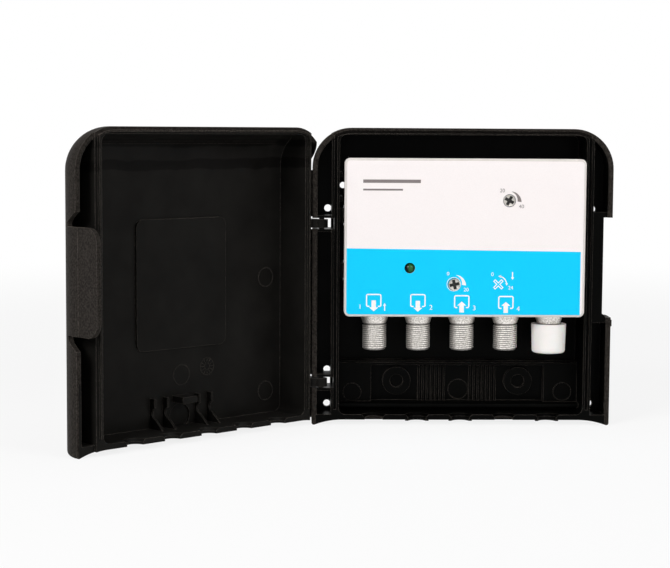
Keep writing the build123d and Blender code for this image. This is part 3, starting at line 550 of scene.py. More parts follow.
# Finishes that need only a tone between two colours and a bump of one grain size.
# Each row: colours, grain in mm and its detail, roughness, metallic, bump strength and
# further sockets.
plainFinishes = {
    # Low-density polyethylene, moulded: milky, waxy, light passes a little into it
    "milkyPolyethylene": (
        "#f1ede9", "#f7f3f0", 0.9, 3, 0.42, 0.0, 0.05,
        {"Subsurface Weight": 0.2, "Subsurface Scale": 0.001, "IOR": 1.51},
    ),
    # Powder coat on sheet steel, cream: baked on, with a faint orange peel
    "creamPowderCoat": ("#d4cdc9", "#e0dad6", 1.1, 2, 0.4, 0.0, 0.15, {}),
    # Tin plate from the coil: bright grey with a cloudy bloom
    "tinPlate": ("#b9babb", "#d2d3d3", 3.0, 3, 0.33, 1.0, 0.05, {}),
    # Epoxy solder mask over copper: green, glossy, darker over bare laminate
    "greenSolderMask": ("#0b3d20", "#14562f", 1.4, 3, 0.28, 0.0, 0.2, {"Coat Weight": 0.3}),
    # Zinc plated steel screws: bluish grey, satin
    "zincPlatedSteel": ("#a3a8ad", "#c0c4c8", 0.6, 3, 0.36, 1.0, 0.1, {}),
    # Mineral filled epoxy of chips: charcoal, matt, with a fine sandy grain
    "mouldedEpoxy": ("#161617", "#232324", 0.3, 3, 0.6, 0.0, 0.3, {}),
    # Drawn aluminium cans: pale grey and satin
    "drawnAluminium": ("#b8babc", "#cdcfd0", 0.8, 3, 0.34, 1.0, 0.1, {}),
    # Fired ferrite: nearly black, rough and chalky
    "firedFerrite": ("#242325", "#343235", 0.4, 3, 0.75, 0.0, 0.5, {}),
    # Polyethylene insulators, turned: white and waxy
    "whitePolyethylene": ("#dcdcd6", "#ecece8", 0.7, 3, 0.45, 0.0, 0.05, {"IOR": 1.51}),
    # Tinned phosphor bronze springs: pale gold with dull patches
    "tinnedBronze": ("#b29a63", "#d3bd88", 0.5, 3, 0.3, 1.0, 0.05, {}),
    # Blue moulded polyester of the trimmers: even and satin
    "bluePolyester": ("#123a86", "#1b4c9f", 0.5, 3, 0.45, 0.0, 0.1, {}),
    # Screen printing ink in grey and in white: thin, matt, slightly uneven
    "greyInk": ("#766d6c", "#807775", 0.3, 3, 0.5, 0.0, 0.1, {}),
    "whiteInk": ("#f1edec", "#faf7f5", 0.3, 3, 0.45, 0.0, 0.1, {}),
}


def plainFinish(name):
    dark, light, size, detail, roughness, metallic, strength, sockets = plainFinishes[name]
    settings = {"Roughness": roughness, "Metallic": metallic, **sockets}
    material, tree, shader, coords = startMaterial(name, settings)
    grain = addNode(
        tree,
        "ShaderNodeTexNoise",
        {"Scale": perMetre(size), "Detail": detail},
        {"Vector": coords},
    )
    tone = addNode(
        tree, "ShaderNodeMix", {"data_type": "RGBA", 6: srgb(dark), 7: srgb(light)}, {0: grain}
    )
    bump = addNode(
        tree, "ShaderNodeBump", {"Strength": strength, "Distance": 0.03 * mm}, {"Height": grain}
    )
    linkInputs(tree, shader, {"Base Color": tone.outputs[2], "Normal": bump})
    return material


lampSkin = {
    "shade": "#020402",
    "lit": "#1f6a30",
    "from": -22.9,  # where the green begins and where it is full, along x
    "to": -21.3,
    "cloud": 0.6,
}


def dyedEpoxy():
    # Green dyed epoxy of the unlit lamp, cast: very smooth. The lens carries a painted shade:
    # black on its left, turning to green towards its right along x.
    s = lampSkin
    material, tree, shader, coords = startMaterial(
        "greenDyedEpoxy", {"Roughness": 0.08, "IOR": 1.54, "Specular IOR Level": 0.3}
    )
    parts = addNode(tree, "ShaderNodeSeparateXYZ", {}, {0: coords}).outputs
    across = addNode(
        tree,
        "ShaderNodeMapRange",
        {
            "interpolation_type": "SMOOTHSTEP",
            "From Min": s["from"] * mm,
            "From Max": s["to"] * mm,
        },
        {"Value": parts["X"]},
    )
    cloud = addNode(
        tree,
        "ShaderNodeTexNoise",
        {"Scale": perMetre(s["cloud"]), "Detail": 1},
        {"Vector": coords},
    )
    uneven = addNode(
        tree,
        "ShaderNodeMapRange",
        {"From Min": 0.3, "From Max": 0.7, "To Min": 0.75, "To Max": 1.0},
        {"Value": cloud},
    )
    share = addNode(tree, "ShaderNodeMath", {"operation": "MULTIPLY"}, {0: across, 1: uneven})
    tone = addNode(
        tree,
        "ShaderNodeMix",
        {"data_type": "RGBA", 6: srgb(s["shade"]), 7: srgb(s["lit"])},
        {0: share},
    )
    linkInputs(tree, shader, {"Base Color": tone.outputs[2]})
    return material


def stampedRotor():
    # Nickel silver, stamped: bright and scratched in front. Deep in the cross slot it is painted
    # nearly black and not metallic, a painted shade.
    rotor = {
        "dull": "#a5a19b",
        "bright": "#f0ece6",
        "slotShade": "#1d1a17",
        "grain": 0.6,
        "deep": -9.45,  # depth behind the parting plane where the painted slot shade begins
    }
    material, tree, shader, coords = startMaterial("stampedNickelSilver", {"Roughness": 0.3})
    grain = addNode(
        tree,
        "ShaderNodeTexNoise",
        {"Scale": perMetre(rotor["grain"]), "Detail": 3},
        {"Vector": coords},
    )
    tone = addNode(
        tree,
        "ShaderNodeMix",
        {"data_type": "RGBA", 6: srgb(rotor["dull"]), 7: srgb(rotor["bright"])},
        {0: grain},
    )
    parts = addNode(tree, "ShaderNodeSeparateXYZ", {}, {0: coords}).outputs
    # Painted shade deep in the cross slot: nearly black there, and not metallic
    deep = above(tree, parts["Y"], rotor["deep"] - caseFrame["partingDepth"])
    shown = addNode(
        tree,
        "ShaderNodeMix",
        {"data_type": "RGBA", 7: srgb(rotor["slotShade"])},
        {0: deep, 6: tone.outputs[2]},
    )
    unshadedMetal = addNode(tree, "ShaderNodeMath", {"operation": "SUBTRACT", 0: 1.0}, {1: deep})
    bump = addNode(
        tree, "ShaderNodeBump", {"Strength": 0.25, "Distance": 0.03 * mm}, {"Height": grain}
    )
    linkInputs(tree, shader, {"Base Color": shown.outputs[2], "Metallic": unshadedMetal, "Normal": bump})
    return material


finishes = {name: plainFinish(name) for name in plainFinishes}
finishes["nickelSilver"] = stampedRotor()
finishes["greenDyedEpoxy"] = dyedEpoxy()
finishes["blackAbsBase"] = mouldedAbs("mouldedAbsBase", baseOutside, absSettings["baseInside"])
finishes["blackAbsCover"] = mouldedAbs(
    "mouldedAbsCover", coverOutside, absSettings["coverInside"], absSettings["paintedReflectionBands"]
)
finishes["printedVinylFilm"] = printedFilm()
finishes["nickelPlatedBrass"] = nickelPlate()

nodeFinishes = {
    "rear_housing": "blackAbsBase",
    "front_cover": "blackAbsCover",
    "module_chassis": "tinPlate",
    "module_lid": "creamPowderCoat",
    "face_label": "printedVinylFilm",
    "circuit_board": "greenSolderMask",
    "board_screws": "zincPlatedSteel",
    "connector_nuts": "nickelPlatedBrass",
    "dust_cap": "milkyPolyethylene",
    "power_led": "greenDyedEpoxy",
    "shield_partition": "tinPlate",
    "amplifier_chips": "mouldedEpoxy",
    "capacitors": "drawnAluminium",
    "ferrite_cores": "firedFerrite",
    "voltage_regulator": "mouldedEpoxy",
    "f_connector": "nickelPlatedBrass",
    "connector_insulator": "whitePolyethylene",
    "connector_contact": "tinnedBronze",
    "trimmer_body": "bluePolyester",
    "trimmer_rotor": "nickelSilver",
}


def giveFinish(obj, name):
    obj.data.materials.clear()
    obj.data.materials.append(finishes[name])


for nodeName, node in nodes.items():
    giveFinish(node, nodeFinishes[nodeName.rstrip("12345").rstrip("_")])
print("materials given to the solids")


# Modelling helpers
def objectMode():
    bpy.ops.object.mode_set(mode="OBJECT")


def selectOnly(obj):
    bpy.ops.object.select_all(action="DESELECT")
    obj.select_set(True)
    bpy.context.view_layer.objects.active = obj


def editOnly(obj, action="DESELECT"):
    # Opens one object's mesh for editing, with nothing picked, or all of it
    selectOnly(obj)
    bpy.ops.object.mode_set(mode="EDIT")
    bpy.ops.mesh.select_all(action=action)


def pick(kind, test):
    # Picks the vertices, edges or faces of the mesh being edited whose middle passes
    bpy.ops.mesh.select_mode(type=kind)
    bpy.ops.mesh.select_all(action="DESELECT")
    objectMode()
    mesh = bpy.context.object.data
    if kind == "VERT":
        for vertex in mesh.vertices:
            vertex.select = test(vertex.co)
    elif kind == "EDGE":
        for edge in mesh.edges:
            ends = [mesh.vertices[i].co for i in edge.vertices]
            edge.select = test((ends[0] + ends[1]) / 2)
    else:
        for face in mesh.polygons:
            face.select = test(face.center, face.normal)
    bpy.ops.object.mode_set(mode="EDIT")


def applyPlace(obj):
    selectOnly(obj)
    bpy.ops.object.transform_apply(location=True, rotation=True, scale=True)


def joined(objects):
    selectOnly(objects[0])
    for obj in objects:
        obj.select_set(True)
    bpy.ops.object.join()
    return objects[0]


mergeDistance = 0.000001  # metres


def tidyMesh(obj):
    # Merges doubled points and turns all faces outwards
    editOnly(obj, "SELECT")
    bpy.ops.mesh.remove_doubles(threshold=mergeDistance)
    bpy.ops.mesh.normals_make_consistent(inside=False)
    objectMode()


def finishPiece(obj, name, body, finish, smooth=35):
    obj.name = name
    obj.data.name = name
    applyPlace(obj)
    if smooth:
        bpy.ops.object.shade_smooth_by_angle(angle=radians(smooth))
    giveFinish(obj, finish)
    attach(obj, body)


def copyPiece(obj, shift):
    # Copy with a mesh of its own, moved by a vector in metres
    twin = obj.copy()
    twin.data = obj.data.copy()
    bpy.context.collection.objects.link(twin)
    twin.data.transform(Matrix.Translation(shift))
    return twin


def applyModifiers(obj):
    selectOnly(obj)
    for modifier in list(obj.modifiers):
        bpy.ops.object.modifier_apply(modifier=modifier.name)


def turnedPiece(steps, segments, centre):
    # Turned part: a ring at the first radius, extruded and resized from step to step.
    # Each step is a radius and a height; the last ring joins up with the first.
    radius, height = steps[0]
    bpy.ops.mesh.primitive_circle_add(
        vertices=segments, radius=radius * mm, location=centre + Vector((0, 0, height * mm))
    )
    obj = bpy.context.object
    editOnly(obj, "SELECT")
    for newRadius, newHeight in steps[1:] + steps[:1]:
        rise = (0, 0, (newHeight - height) * mm)
        bpy.ops.mesh.extrude_region_move(TRANSFORM_OT_translate={"value": rise})
        share = newRadius / radius
        middle = centre + Vector((0, 0, newHeight * mm))
        bpy.ops.transform.resize(value=(share, share, 1), center_override=middle)
        radius, height = newRadius, newHeight
    objectMode()
    tidyMesh(obj)
    applyPlace(obj)
    return obj


# Threaded ports: turned body and helical thread, then a copy at each place
portSettings = {
    "count": 5,
    "endHeight": 28.7,
    "undersideHeight": 43.85,
    "boreRadius": 3.6,
    "boreLength": 12.0,
    "coreRadius": 4.34,
    "threadRadius": 4.75,
    "threadPitch": 0.79,
    "bandRadius": 4.78,
    "bandLength": 0.3,
    "grooveLength": 0.4,
    "coneLength": 2.0,
    "collarRadius": 5.4,
    "collarLength": 2.1,
    "edge": 0.25,
    "neckRadius": 4.2,
    "neckLength": 3.3,
    "tubeRadius": 2.15,
    "toothSides": 6,
    "toothSink": 0.05,  # how far the thread's tooth reaches into the core
    "toothShare": 0.48,  # half its height, as a share of the pitch
    "segments": 64,
}


def makePort(s):
    end, top = s["endHeight"], s["undersideHeight"]
    collarBottom = top - s["collarLength"]
    coneBottom = collarBottom - s["coneLength"]
    bandBottom = coneBottom - s["bandLength"]
    grooveBottom = bandBottom - s["grooveLength"]
    boreTop = end + s["boreLength"]
    neckTop = top + s["neckLength"]
    edge = s["edge"]
    steps = [
        (s["boreRadius"], end + edge / 2),
        (s["boreRadius"] + edge / 2, end),
        (s["coreRadius"] - edge, end),
        (s["coreRadius"], end + edge),
        (s["coreRadius"], bandBottom),
        (s["bandRadius"] - edge / 2, bandBottom),
        (s["bandRadius"], bandBottom + edge / 2),
        (s["bandRadius"], coneBottom),
        (s["collarRadius"], collarBottom),
        (s["collarRadius"], top - edge),
        (s["collarRadius"] - edge, top),
        (s["neckRadius"], top),
        (s["neckRadius"], neckTop),
        (s["tubeRadius"], neckTop),
        (s["tubeRadius"], boreTop),
        (s["boreRadius"], boreTop),
    ]
    origin = place(0, 0, 0)
    body = turnedPiece(steps, s["segments"], origin)

    # One six-sided tooth, wound upwards round the axis by a screw modifier
    toothReach = s["threadRadius"] - s["coreRadius"] + s["toothSink"]
    start = end + edge + s["threadPitch"] / 2
    bpy.ops.mesh.primitive_circle_add(
        vertices=s["toothSides"],
        radius=mm,
        location=origin + Vector((s["coreRadius"] - s["toothSink"], 0, start)) * mm,
        rotation=(pi / 2, 0, 0),
    )
    tooth = bpy.context.object
    corner = cos(pi / s["toothSides"])
    tooth.scale = (toothReach / corner, s["threadPitch"] * s["toothShare"], 1)
    applyPlace(tooth)
    bpy.context.scene.cursor.location = origin
    bpy.ops.object.origin_set(type="ORIGIN_CURSOR")
    winding = tooth.modifiers.new("winding", "SCREW")
    winding.screw_offset = s["threadPitch"] * mm
    winding.iterations = int((grooveBottom - start) / s["threadPitch"])
    winding.steps = s["segments"]
    winding.render_steps = s["segments"]
    applyModifiers(tooth)
    editOnly(tooth)
    bpy.ops.mesh.select_mode(type="EDGE")
    bpy.ops.mesh.select_non_manifold(extend=False)
    bpy.ops.mesh.fill()
    objectMode()
    tooth.rotation_euler = (0, 0, pi / 2)  # the thread starts at the back, out of sight
    applyPlace(tooth)
    tidyMesh(tooth)
    return joined([body, tooth])


middlePort = (portSettings["count"] + 1) / 2
firstPort = makePort(portSettings)
for number in range(1, portSettings["count"] + 1):
    shift = Vector(((number - middlePort) * caseFrame["portPitch"] * mm, 0, 0))
    port = copyPiece(firstPort, shift)
    finishPiece(port, f"threaded_port_{number}", "housing", "nickelPlatedBrass")
    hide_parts(f"f_connector_{number}")
bpy.data.objects.remove(firstPort)
print("threaded ports made")


# Trimmer rotors: dished face with a cross slot
rotorSettings = {
    "radius": 2.35,
    "front": -10.0,
    "back": -4.0,
    "rim": 0.3,
    "dish": 0.25,
    "hub": 0.05,  # radius where the turned face begins
    "slotWidth": 1.25,
    "slotLength": 3.9,
    "slotDepth": 1.8,
    "segments": 48,
    "places": ((17.3, 88.8, 28), (-4.0, 55.6, -12)),  # x, height, turn of the slot
}


def makeRotor(s, x, height, turn):
    # Turned upright about the origin, then laid down to face the front
    depthSteps = [
        (s["hub"], s["front"] + s["dish"]),
        (s["radius"] - 2 * s["rim"], s["front"] + s["dish"]),
        (s["radius"] - s["rim"], s["front"]),
        (s["radius"] - s["rim"] / 3, s["front"]),
        (s["radius"], s["front"] + s["rim"] / 3),
        (s["radius"], s["back"]),
        (s["hub"], s["back"]),
    ]
    rotor = turnedPiece(depthSteps, s["segments"], Vector((0, 0, 0)))
    slots = []
    for k in range(2):
        bpy.ops.mesh.primitive_cube_add(
            size=mm,
            location=(0, 0, (s["front"] + s["dish"]) * mm),
            rotation=(0, 0, radians(turn) + k * pi / 2),
        )
        slot = bpy.context.object
        slot.scale = (s["slotLength"], s["slotWidth"], 2 * s["slotDepth"])
        applyPlace(slot)
        slots.append(slot)
    for slot in slots:
        cut = rotor.modifiers.new("slot", "BOOLEAN")
        cut.object = slot
        cut.solver = "EXACT"
    applyModifiers(rotor)
    for slot in slots:
        bpy.data.objects.remove(slot)
    rotor.rotation_euler = (-pi / 2, 0, 0)
    rotor.location = place(x, 0, height)
    applyPlace(rotor)
    return rotor


for number, (x, height, turn) in enumerate(rotorSettings["places"], start=1):
    rotor = makeRotor(rotorSettings, x, height, turn)
    finishPiece(rotor, f"slotted_rotor_{number}", f"rotor_{number}", "nickelSilver")
    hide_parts(f"trimmer_rotor_{number}")
print("trimmer rotors made")


# Screen print on the label
printSettings = {
    "front": -10.34,
    "ink": 0.04,
    "numberHeight": 1.9,
    "dialNumberHeight": 1.45,
    "line": 0.5,
    "bracketWidth": 6.15,
    "bracketHeight": 5.2,
    "bracketRound": 0.8,
    "roundSteps": 4,
    "bracketGap": 3.4,
    "stemWidth": 1.75,
    "headWidth": 3.6,
    "triangle": (1.732, 1.5),  # width and height of a triangle in a circle of radius 1
    "stripHalf": 0.5,
    "stripWidth": 0.01,
    "crossNear": 0.1,  # where the middle of the cross's sides lies, in shares of its width
    "crossFar": 0.45,
    "digitShare": 0.7,  # a digit's height, as a share of the text's size
}


def inkPlane(x, height, width, tall):
    bpy.ops.mesh.primitive_plane_add(
        size=mm, location=place(x, printSettings["front"], height), rotation=(pi / 2, 0, 0)
    )
    plane = bpy.context.object
    plane.scale = (width, tall, 1)
    applyPlace(plane)
    return plane


def thickened(obj):
    editOnly(obj, "SELECT")
    back = (0, printSettings["ink"] * mm, 0)
    bpy.ops.mesh.extrude_region_move(TRANSFORM_OT_translate={"value": back})
    objectMode()
    tidyMesh(obj)
    return obj


def makeBracket(x, top):
    # Rounded square, inset to a line, opened at the middle of its lower side
    s = printSettings
    middle = top - s["bracketHeight"] / 2
    plate = inkPlane(x, middle, s["bracketWidth"], s["bracketHeight"])
    editOnly(plate, "SELECT")
    bpy.ops.mesh.bevel(
        affect="VERTICES", offset=s["bracketRound"] * mm, segments=s["roundSteps"]
    )
    pick("FACE", lambda centre, normal: True)
    bpy.ops.mesh.inset(thickness=s["line"] * mm)
    bpy.ops.mesh.delete(type="FACE")
    for side in (-1, 1):
        bpy.ops.mesh.select_all(action="SELECT")
        cutPlace = place(x + side * s["bracketGap"] / 2, 0, 0)
        bpy.ops.mesh.bisect(plane_co=cutPlace, plane_no=(1, 0, 0))
    reach, low = s["bracketGap"] / 2 * mm, place(x, 0, middle)
    pick("FACE", lambda centre, normal: abs(centre.x - low.x) < reach and centre.z < low.z)
    bpy.ops.mesh.delete(type="FACE")
    objectMode()
    return thickened(plate)


def makeHead(x, tip, width, tall, turn):
    # Triangle whose tip points up, turned clockwise about its tip by turn
    unitWidth, unitHeight = printSettings["triangle"]
    bpy.ops.mesh.primitive_circle_add(
        vertices=3, radius=mm, fill_type="NGON", location=(0, -tall / unitHeight * mm, 0)
    )
    head = bpy.context.object
    head.scale = (width / unitWidth, tall / unitHeight, 1)
    applyPlace(head)
    head.rotation_euler = (pi / 2, radians(turn), 0)
    head.location = place(x, printSettings["front"], tip)
    applyPlace(head)
    return thickened(head)


def makeArrow(x, tail, shoulder, tip, stemWidth, headWidth):
    stem = thickened(inkPlane(x, (tail + shoulder) / 2, stemWidth, abs(tail - shoulder)))
    turn = 0 if tip > tail else 180
    return [stem, makeHead(x, tip, headWidth, abs(tip - shoulder), turn)]


def makeArc(x, height, inner, outers, start, end, steps):
    # Upright strip spun clockwise about the dial, its outer edge then moved in or out
    startOuter, endOuter = outers
    half, thin = printSettings["stripHalf"], printSettings["stripWidth"]
    strip = inkPlane(x, height + inner + half, thin, 2 * half)
    centre = place(x, printSettings["front"], height)
    editOnly(strip)
    pick("VERT", lambda co: co.x > centre.x)
    bpy.ops.mesh.delete(type="VERT")
    bpy.ops.mesh.select_all(action="SELECT")
    bpy.ops.mesh.spin(
        steps=steps, angle=radians(start - end), center=centre, axis=(0, 1, 0)
    )
    objectMode()
    mesh = strip.data
    for vertex in mesh.vertices:
        arm = vertex.co - centre
        angle = abs(Vector((arm.x, arm.z)).angle_signed(Vector((0, 1))))
        if arm.length > (inner + half) * mm:
            share = angle / radians(end - start)
            outer = startOuter + share * (endOuter - startOuter)
            vertex.co = centre + arm.normalized() * outer * mm
    strip.location = -centre
    applyPlace(strip)
    strip.rotation_euler = (0, radians(start), 0)
    strip.location = centre
    applyPlace(strip)
    return thickened(strip)


def makeCross(x, height, arm, width, line):
    # Square with four arms pulled out of its sides, inset to a line, turned by 45 degrees
    s = printSettings
    plate = inkPlane(x, height, width, width)
    centre = place(x, s["front"], height)
    near, far = s["crossNear"] * width * mm, s["crossFar"] * width * mm
    editOnly(plate)
    for dx, dz in ((1, 0), (-1, 0), (0, 1), (0, -1)):
        side, across = Vector((dx, 0, dz)), Vector((dz, 0, dx))
        pick(
            "EDGE",
            lambda co: (co - centre).dot(side) > far
            and abs((co - centre).dot(across)) < near,
        )
        reach = tuple(side * arm * mm)
        bpy.ops.mesh.extrude_region_move(TRANSFORM_OT_translate={"value": reach})
    bpy.ops.mesh.select_all(action="SELECT")
    bpy.ops.mesh.normals_make_consistent(inside=False)
    bpy.ops.mesh.inset(thickness=line * mm)
    bpy.ops.mesh.delete(type="FACE")
    bpy.ops.mesh.select_all(action="SELECT")
    bpy.ops.transform.rotate(value=pi / 4, orient_axis="Y", center_override=centre)
    objectMode()
    return thickened(plate)


def makeNumber(text, x, height, tall):
    s = printSettings
    bpy.ops.object.text_add()
    digits = bpy.context.object
    digits.data.body = text
    digits.data.align_x = "CENTER"
    digits.data.align_y = "CENTER"
    digits.data.size = tall / s["digitShare"] * mm
    digits.data.extrude = s["ink"] / 2 * mm
    bpy.ops.object.convert(target="MESH")
    digits = bpy.context.object
    digits.rotation_euler = (pi / 2, 0, 0)
    digits.location = place(x, s["front"] + s["ink"] / 2, height)
    applyPlace(digits)
    tidyMesh(digits)
    return digits


# Places on the label are x and height
whiteLayout = {
    "brackets": ((-35.83, 51.87), (-18.39, 51.88), (-1.07, 51.5), (16.4, 51.25)),
    # Arrows: x, then the heights of tail, shoulder and tip
    "portArrows": (
        (-35.83, 49.3, 46.5, 44.95),
        (-18.39, 49.2, 46.4, 44.85),
        (-1.07, 44.6, 47.35, 48.95),
        (16.4, 44.45, 47.3, 48.85),
    ),
    "smallArrows": ((-31.5, 45.2, 47.2, 48.25), (18.87, 60.7, 58.6, 57.6)),
    "smallArrowWidths": (0.42, 1.25),
    "cross": (13.31, 55.79, 1.75, 1.15, 0.32),  # place, arm, width, line
    # Arcs: place, inner radius, outer radii at the two ends, the ends' angles, steps
    "turnArc": (13.31, 55.79, 3.05, (3.45, 3.45), 12, 84, 12),
    "turnHeads": ((13.3, 59.1, 1.1, 1.0, -80), (16.65, 55.3, 1.1, 1.0, 175)),
    "dialArcs": (
        (-4.53, 56.03, 3.5, (3.62, 5.15), 20, 98, 14),
        (-4.3, 55.8, 2.58, (2.78, 2.78), 0, 359.9, 40),
    ),
    "portNumbers": (("1", -41.2, 46.7), ("2", -13.2, 46.5), ("3", 3.9, 46.3), ("4", 21.3, 46.1)),
    "dialNumbers": (("0", -6.6, 59.9), ("20", 0.6, 53.6), ("0", 10.9, 59.7), ("24", 18.2, 54.4)),
}
greyLayout = {
    "dialArc": (16.91, 89.0, 3.5, (3.62, 5.15), 20, 98, 14),
    "dialNumbers": (("20", 14.4, 92.7), ("40", 22.0, 86.5)),
    # Plain rules where a title would stand: place, width, thickness
    "rules": ((-29.0, 96.2, 22.6, 1.3), (-32.5, 92.9, 15.6, 0.7)),
}


def makeNumbers(rows, tall):
    return [makeNumber(*row, printSettings[tall]) for row in rows]


whitePieces = [makeBracket(*row) for row in whiteLayout["brackets"]]
for row in whiteLayout["portArrows"]:
    whitePieces += makeArrow(*row, printSettings["stemWidth"], printSettings["headWidth"])
for row in whiteLayout["smallArrows"]:
    whitePieces += makeArrow(*row, *whiteLayout["smallArrowWidths"])
whitePieces.append(makeCross(*whiteLayout["cross"]))
whitePieces.append(makeArc(*whiteLayout["turnArc"]))
whitePieces += [makeHead(*row) for row in whiteLayout["turnHeads"]]
whitePieces += [makeArc(*row) for row in whiteLayout["dialArcs"]]
whitePieces += makeNumbers(whiteLayout["portNumbers"], "numberHeight")
whitePieces += makeNumbers(whiteLayout["dialNumbers"], "dialNumberHeight")
finishPiece(joined(whitePieces), "white_print", "housing", "whiteInk", smooth=0)

greyPieces = [makeArc(*greyLayout["dialArc"])]
greyPieces += makeNumbers(greyLayout["dialNumbers"], "dialNumberHeight")
greyPieces += [thickened(inkPlane(*row)) for row in greyLayout["rules"]]
finishPiece(joined(greyPieces), "grey_print", "housing", "greyInk", smooth=0)
print("label printed")


# Moulding marks: ejector rings, and a date dial of which only the ticks are cut
markSettings = {
    "rise": 0.08,
    "sink": 0.05,
    "width": 0.4,
    "segments": 64,
    "panelRings": ((-43.35, 15, 8.9, 3.9), (43.27, 15, 9.3, 3.9), (0.6, 18.5, 9.7, 4.3)),
    "coverRings": ((-42, -16, 57, 4.0), (-42, -16, 11, 4.0), (1, -16, 21.5, 4.1)),
    "dial": (-11.7, -16, 23.6),
    "dialRings": (3.5, 1.5),
    "ticks": 12,
    "tickGaps": (0.3, 0.6),  # from the inner and the outer ring
    "tickWidth": 0.22,
    "tickEdge": 0.02,
}


def makeRing(x, depth, height, radius, side):
    # Flat raised ring; side is -1 where it faces the front and 1 where it faces the back
    s = markSettings
    inner = radius - s["width"]
    steps = [(inner, -s["sink"]), (inner, s["rise"]), (radius, s["rise"]), (radius, -s["sink"])]
    ring = turnedPiece(steps, s["segments"], Vector((0, 0, 0)))
    ring.rotation_euler = (-side * pi / 2, 0, 0)
    ring.location = place(x, depth, height)
    applyPlace(ring)
    return ring


def makeTick(x, depth, height, angle, inner, outer, width):
    # Short bar from the inner to the outer ring of the dial, its edges bevelled
    s = markSettings
    bpy.ops.mesh.primitive_cube_add(size=mm, location=(0, 0, (inner + outer) / 2 * mm))
    tick = bpy.context.object
    tick.scale = (width, s["rise"] + s["sink"], outer - inner)
    applyPlace(tick)
    editOnly(tick, "SELECT")
    bpy.ops.mesh.bevel(offset=s["tickEdge"] * mm, segments=1)
    objectMode()
    tick.rotation_euler = (0, radians(angle), 0)
    tick.location = place(x, depth + (s["rise"] - s["sink"]) / 2, height)
    applyPlace(tick)
    return tick


def swungOpen(obj):
    # Turns a piece made for the shut cover about the hinge, to where the cover rests
    hinge = Matrix.Translation(place(*caseFrame["hinge"]))
    turn = Matrix.Rotation(radians(-caseFrame["openAngle"]), 4, "Z")
    obj.matrix_world = hinge @ turn @ hinge.inverted()
    applyPlace(obj)
    return obj


panelMarks = [makeRing(*ring, -1) for ring in markSettings["panelRings"]]
finishPiece(joined(panelMarks), "panel_marks", "housing", "blackAbsBase")
coverMarks = [makeRing(*ring, 1) for ring in markSettings["coverRings"]]
outer, inner = markSettings["dialRings"]
for radius in (outer, inner):
    coverMarks.append(makeRing(*markSettings["dial"], radius, 1))
innerGap, outerGap = markSettings["tickGaps"]
tickSpan = (inner + innerGap, outer - outerGap)
for number in range(markSettings["ticks"]):
    angle = number * 360 / markSettings["ticks"]
    tick = makeTick(*markSettings["dial"], angle, *tickSpan, markSettings["tickWidth"])
    coverMarks.append(tick)
openMarks = swungOpen(joined(coverMarks))
finishPiece(openMarks, "cover_marks", "cover", "blackAbsCover")
print("moulding marks made")


# Sealing rib along the case's left side. It closes the sight line past the open cover
# and leaves the two hinge slots free.
ribSettings = {
    "outer": -60.6,
    "inner": -59.6,
    "depths": (4.5, 8.0),
    "spans": ((0.2, 12.45), (17.65, 76.3), (81.5, 100.0)),
    "edge": 0.25,
    "edgeSteps": 3,
}


def makeRib(bottom, top):
    # Bar with all its edges bevelled round
    s = ribSettings
    corner = place(s["outer"], s["depths"][0], bottom)
    far = place(s["inner"], s["depths"][1], top)
    bpy.ops.mesh.primitive_cube_add(size=1, location=(corner + far) / 2)
    bar = bpy.context.object
    bar.scale = far - corner
    applyPlace(bar)
    editOnly(bar)
    bpy.ops.mesh.select_mode(type="EDGE")
    bpy.ops.mesh.select_all(action="SELECT")
    bpy.ops.mesh.bevel(offset=s["edge"] * mm, segments=s["edgeSteps"])
    objectMode()
    tidyMesh(bar)
    return bar


sideRib = joined([makeRib(*span) for span in ribSettings["spans"]])
finishPiece(sideRib, "case_side_rib", "housing", "blackAbsBase")
print("side rib made")


# Floor, backdrop and light, with distances in metres
stageSettings = {
    "floorSize": 60.0,
    "backdropDistance": 12.0,
    "colour": "#f6f6f6",
    "plainNear": 0.84,  # share of plain white close to the object, where its shadow falls
    "nearReach": 0.25,
    "farReach": 0.9,
    "ambient": 0.05,
}
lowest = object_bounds()[0][2]


def seenRays(tree):
    # 1 for what the camera sees straight, in a mirror or through something clear
    path = addNode(tree, "ShaderNodeLightPath")
    seen = addNode(
        tree,
        "ShaderNodeMath",
        {"operation": "ADD"},
        {0: path.outputs["Is Camera Ray"], 1: path.outputs["Is Glossy Ray"]},
    )
    return addNode(
        tree,
        "ShaderNodeMath",
        {"operation": "ADD", "use_clamp": True},
        {0: seen, 1: path.outputs["Is Transmission Ray"]},
    )


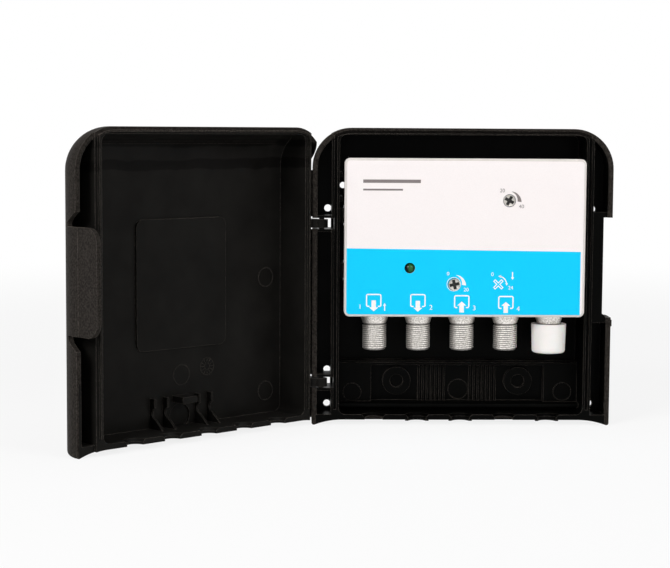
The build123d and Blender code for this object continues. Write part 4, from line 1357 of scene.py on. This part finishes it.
def whiteStage(name, settings):
    # Painted board: plain and matt. The camera and mirrors see a part of it as plain
    # white, all of it far away. The rest of its light is its own, so a shadow shows.
    material, tree = emptyMaterial(name)
    paint = addNode(tree, "ShaderNodeBsdfDiffuse", {"Color": srgb(settings["colour"])})
    glow = addNode(tree, "ShaderNodeEmission", {"Strength": 1.0})
    coords = addNode(tree, "ShaderNodeTexCoord").outputs["Object"]
    distance = addNode(tree, "ShaderNodeVectorMath", {"operation": "LENGTH"}, {0: coords})
    plain = addNode(
        tree,
        "ShaderNodeMapRange",
        {
            "interpolation_type": "SMOOTHSTEP",
            "From Min": settings["nearReach"],
            "From Max": settings["farReach"],
            "To Min": settings["plainNear"],
            "To Max": 1.0,
        },
        {"Value": distance.outputs["Value"]},
    )
    amount = addNode(
        tree, "ShaderNodeMath", {"operation": "MULTIPLY"}, {0: seenRays(tree), 1: plain}
    )
    mixed = addNode(tree, "ShaderNodeMixShader", {}, {0: amount, 1: paint, 2: glow})
    addNode(tree, "ShaderNodeOutputMaterial", {}, {"Surface": mixed})
    return material


stageWhite = whiteStage("paintedStage", stageSettings)
bpy.ops.mesh.primitive_plane_add(size=stageSettings["floorSize"], location=(0, 0, lowest))
floor = bpy.context.object
floor.name = "studioFloor"
floor.data.materials.append(stageWhite)
bpy.ops.mesh.primitive_plane_add(
    size=stageSettings["floorSize"],
    location=(0, stageSettings["backdropDistance"], lowest),
    rotation=(pi / 2, 0, 0),
)
bpy.ops.object.transform_apply(location=True, rotation=True, scale=True)
backdrop = bpy.context.object
backdrop.name = "studioBackdrop"
backdrop.data.materials.append(stageWhite)

world = bpy.data.worlds.new("studioAir")
bpy.context.scene.world = world
world.use_nodes = True
air = world.node_tree
strength = addNode(
    air,
    "ShaderNodeMapRange",
    {"To Min": stageSettings["ambient"], "To Max": 1.0},
    {"Value": seenRays(air)},
)
air.nodes["Background"].inputs[0].default_value = (1, 1, 1, 1)
linkInputs(air, air.nodes["Background"], {"Strength": strength})

# Soft boxes: place and size in metres, power in watts. They stand off the mirror
# direction of the label.
lampSettings = {
    "leftSoftBox": {"at": (-0.75, -0.85, 0.6), "size": 0.5, "power": 9.6},
    "rightSoftBox": {"at": (0.85, -0.75, 0.55), "size": 0.45, "power": 6.0},
    "topSoftBox": {"at": (0.0, -0.1, 1.1), "size": 1.0, "power": 4},
}
target = Vector((-0.03, -0.03, 0.04))
for lampName, s in lampSettings.items():
    bpy.ops.object.light_add(type="AREA", location=s["at"])
    lamp = bpy.context.object
    lamp.name = lampName
    lamp.data.size = s["size"]
    lamp.data.energy = s["power"]
    lamp.rotation_euler = (target - Vector(s["at"])).to_track_quat("-Z", "Y").to_euler()

bpy.context.scene.view_settings.view_transform = "Standard"
print("stage and lights set")
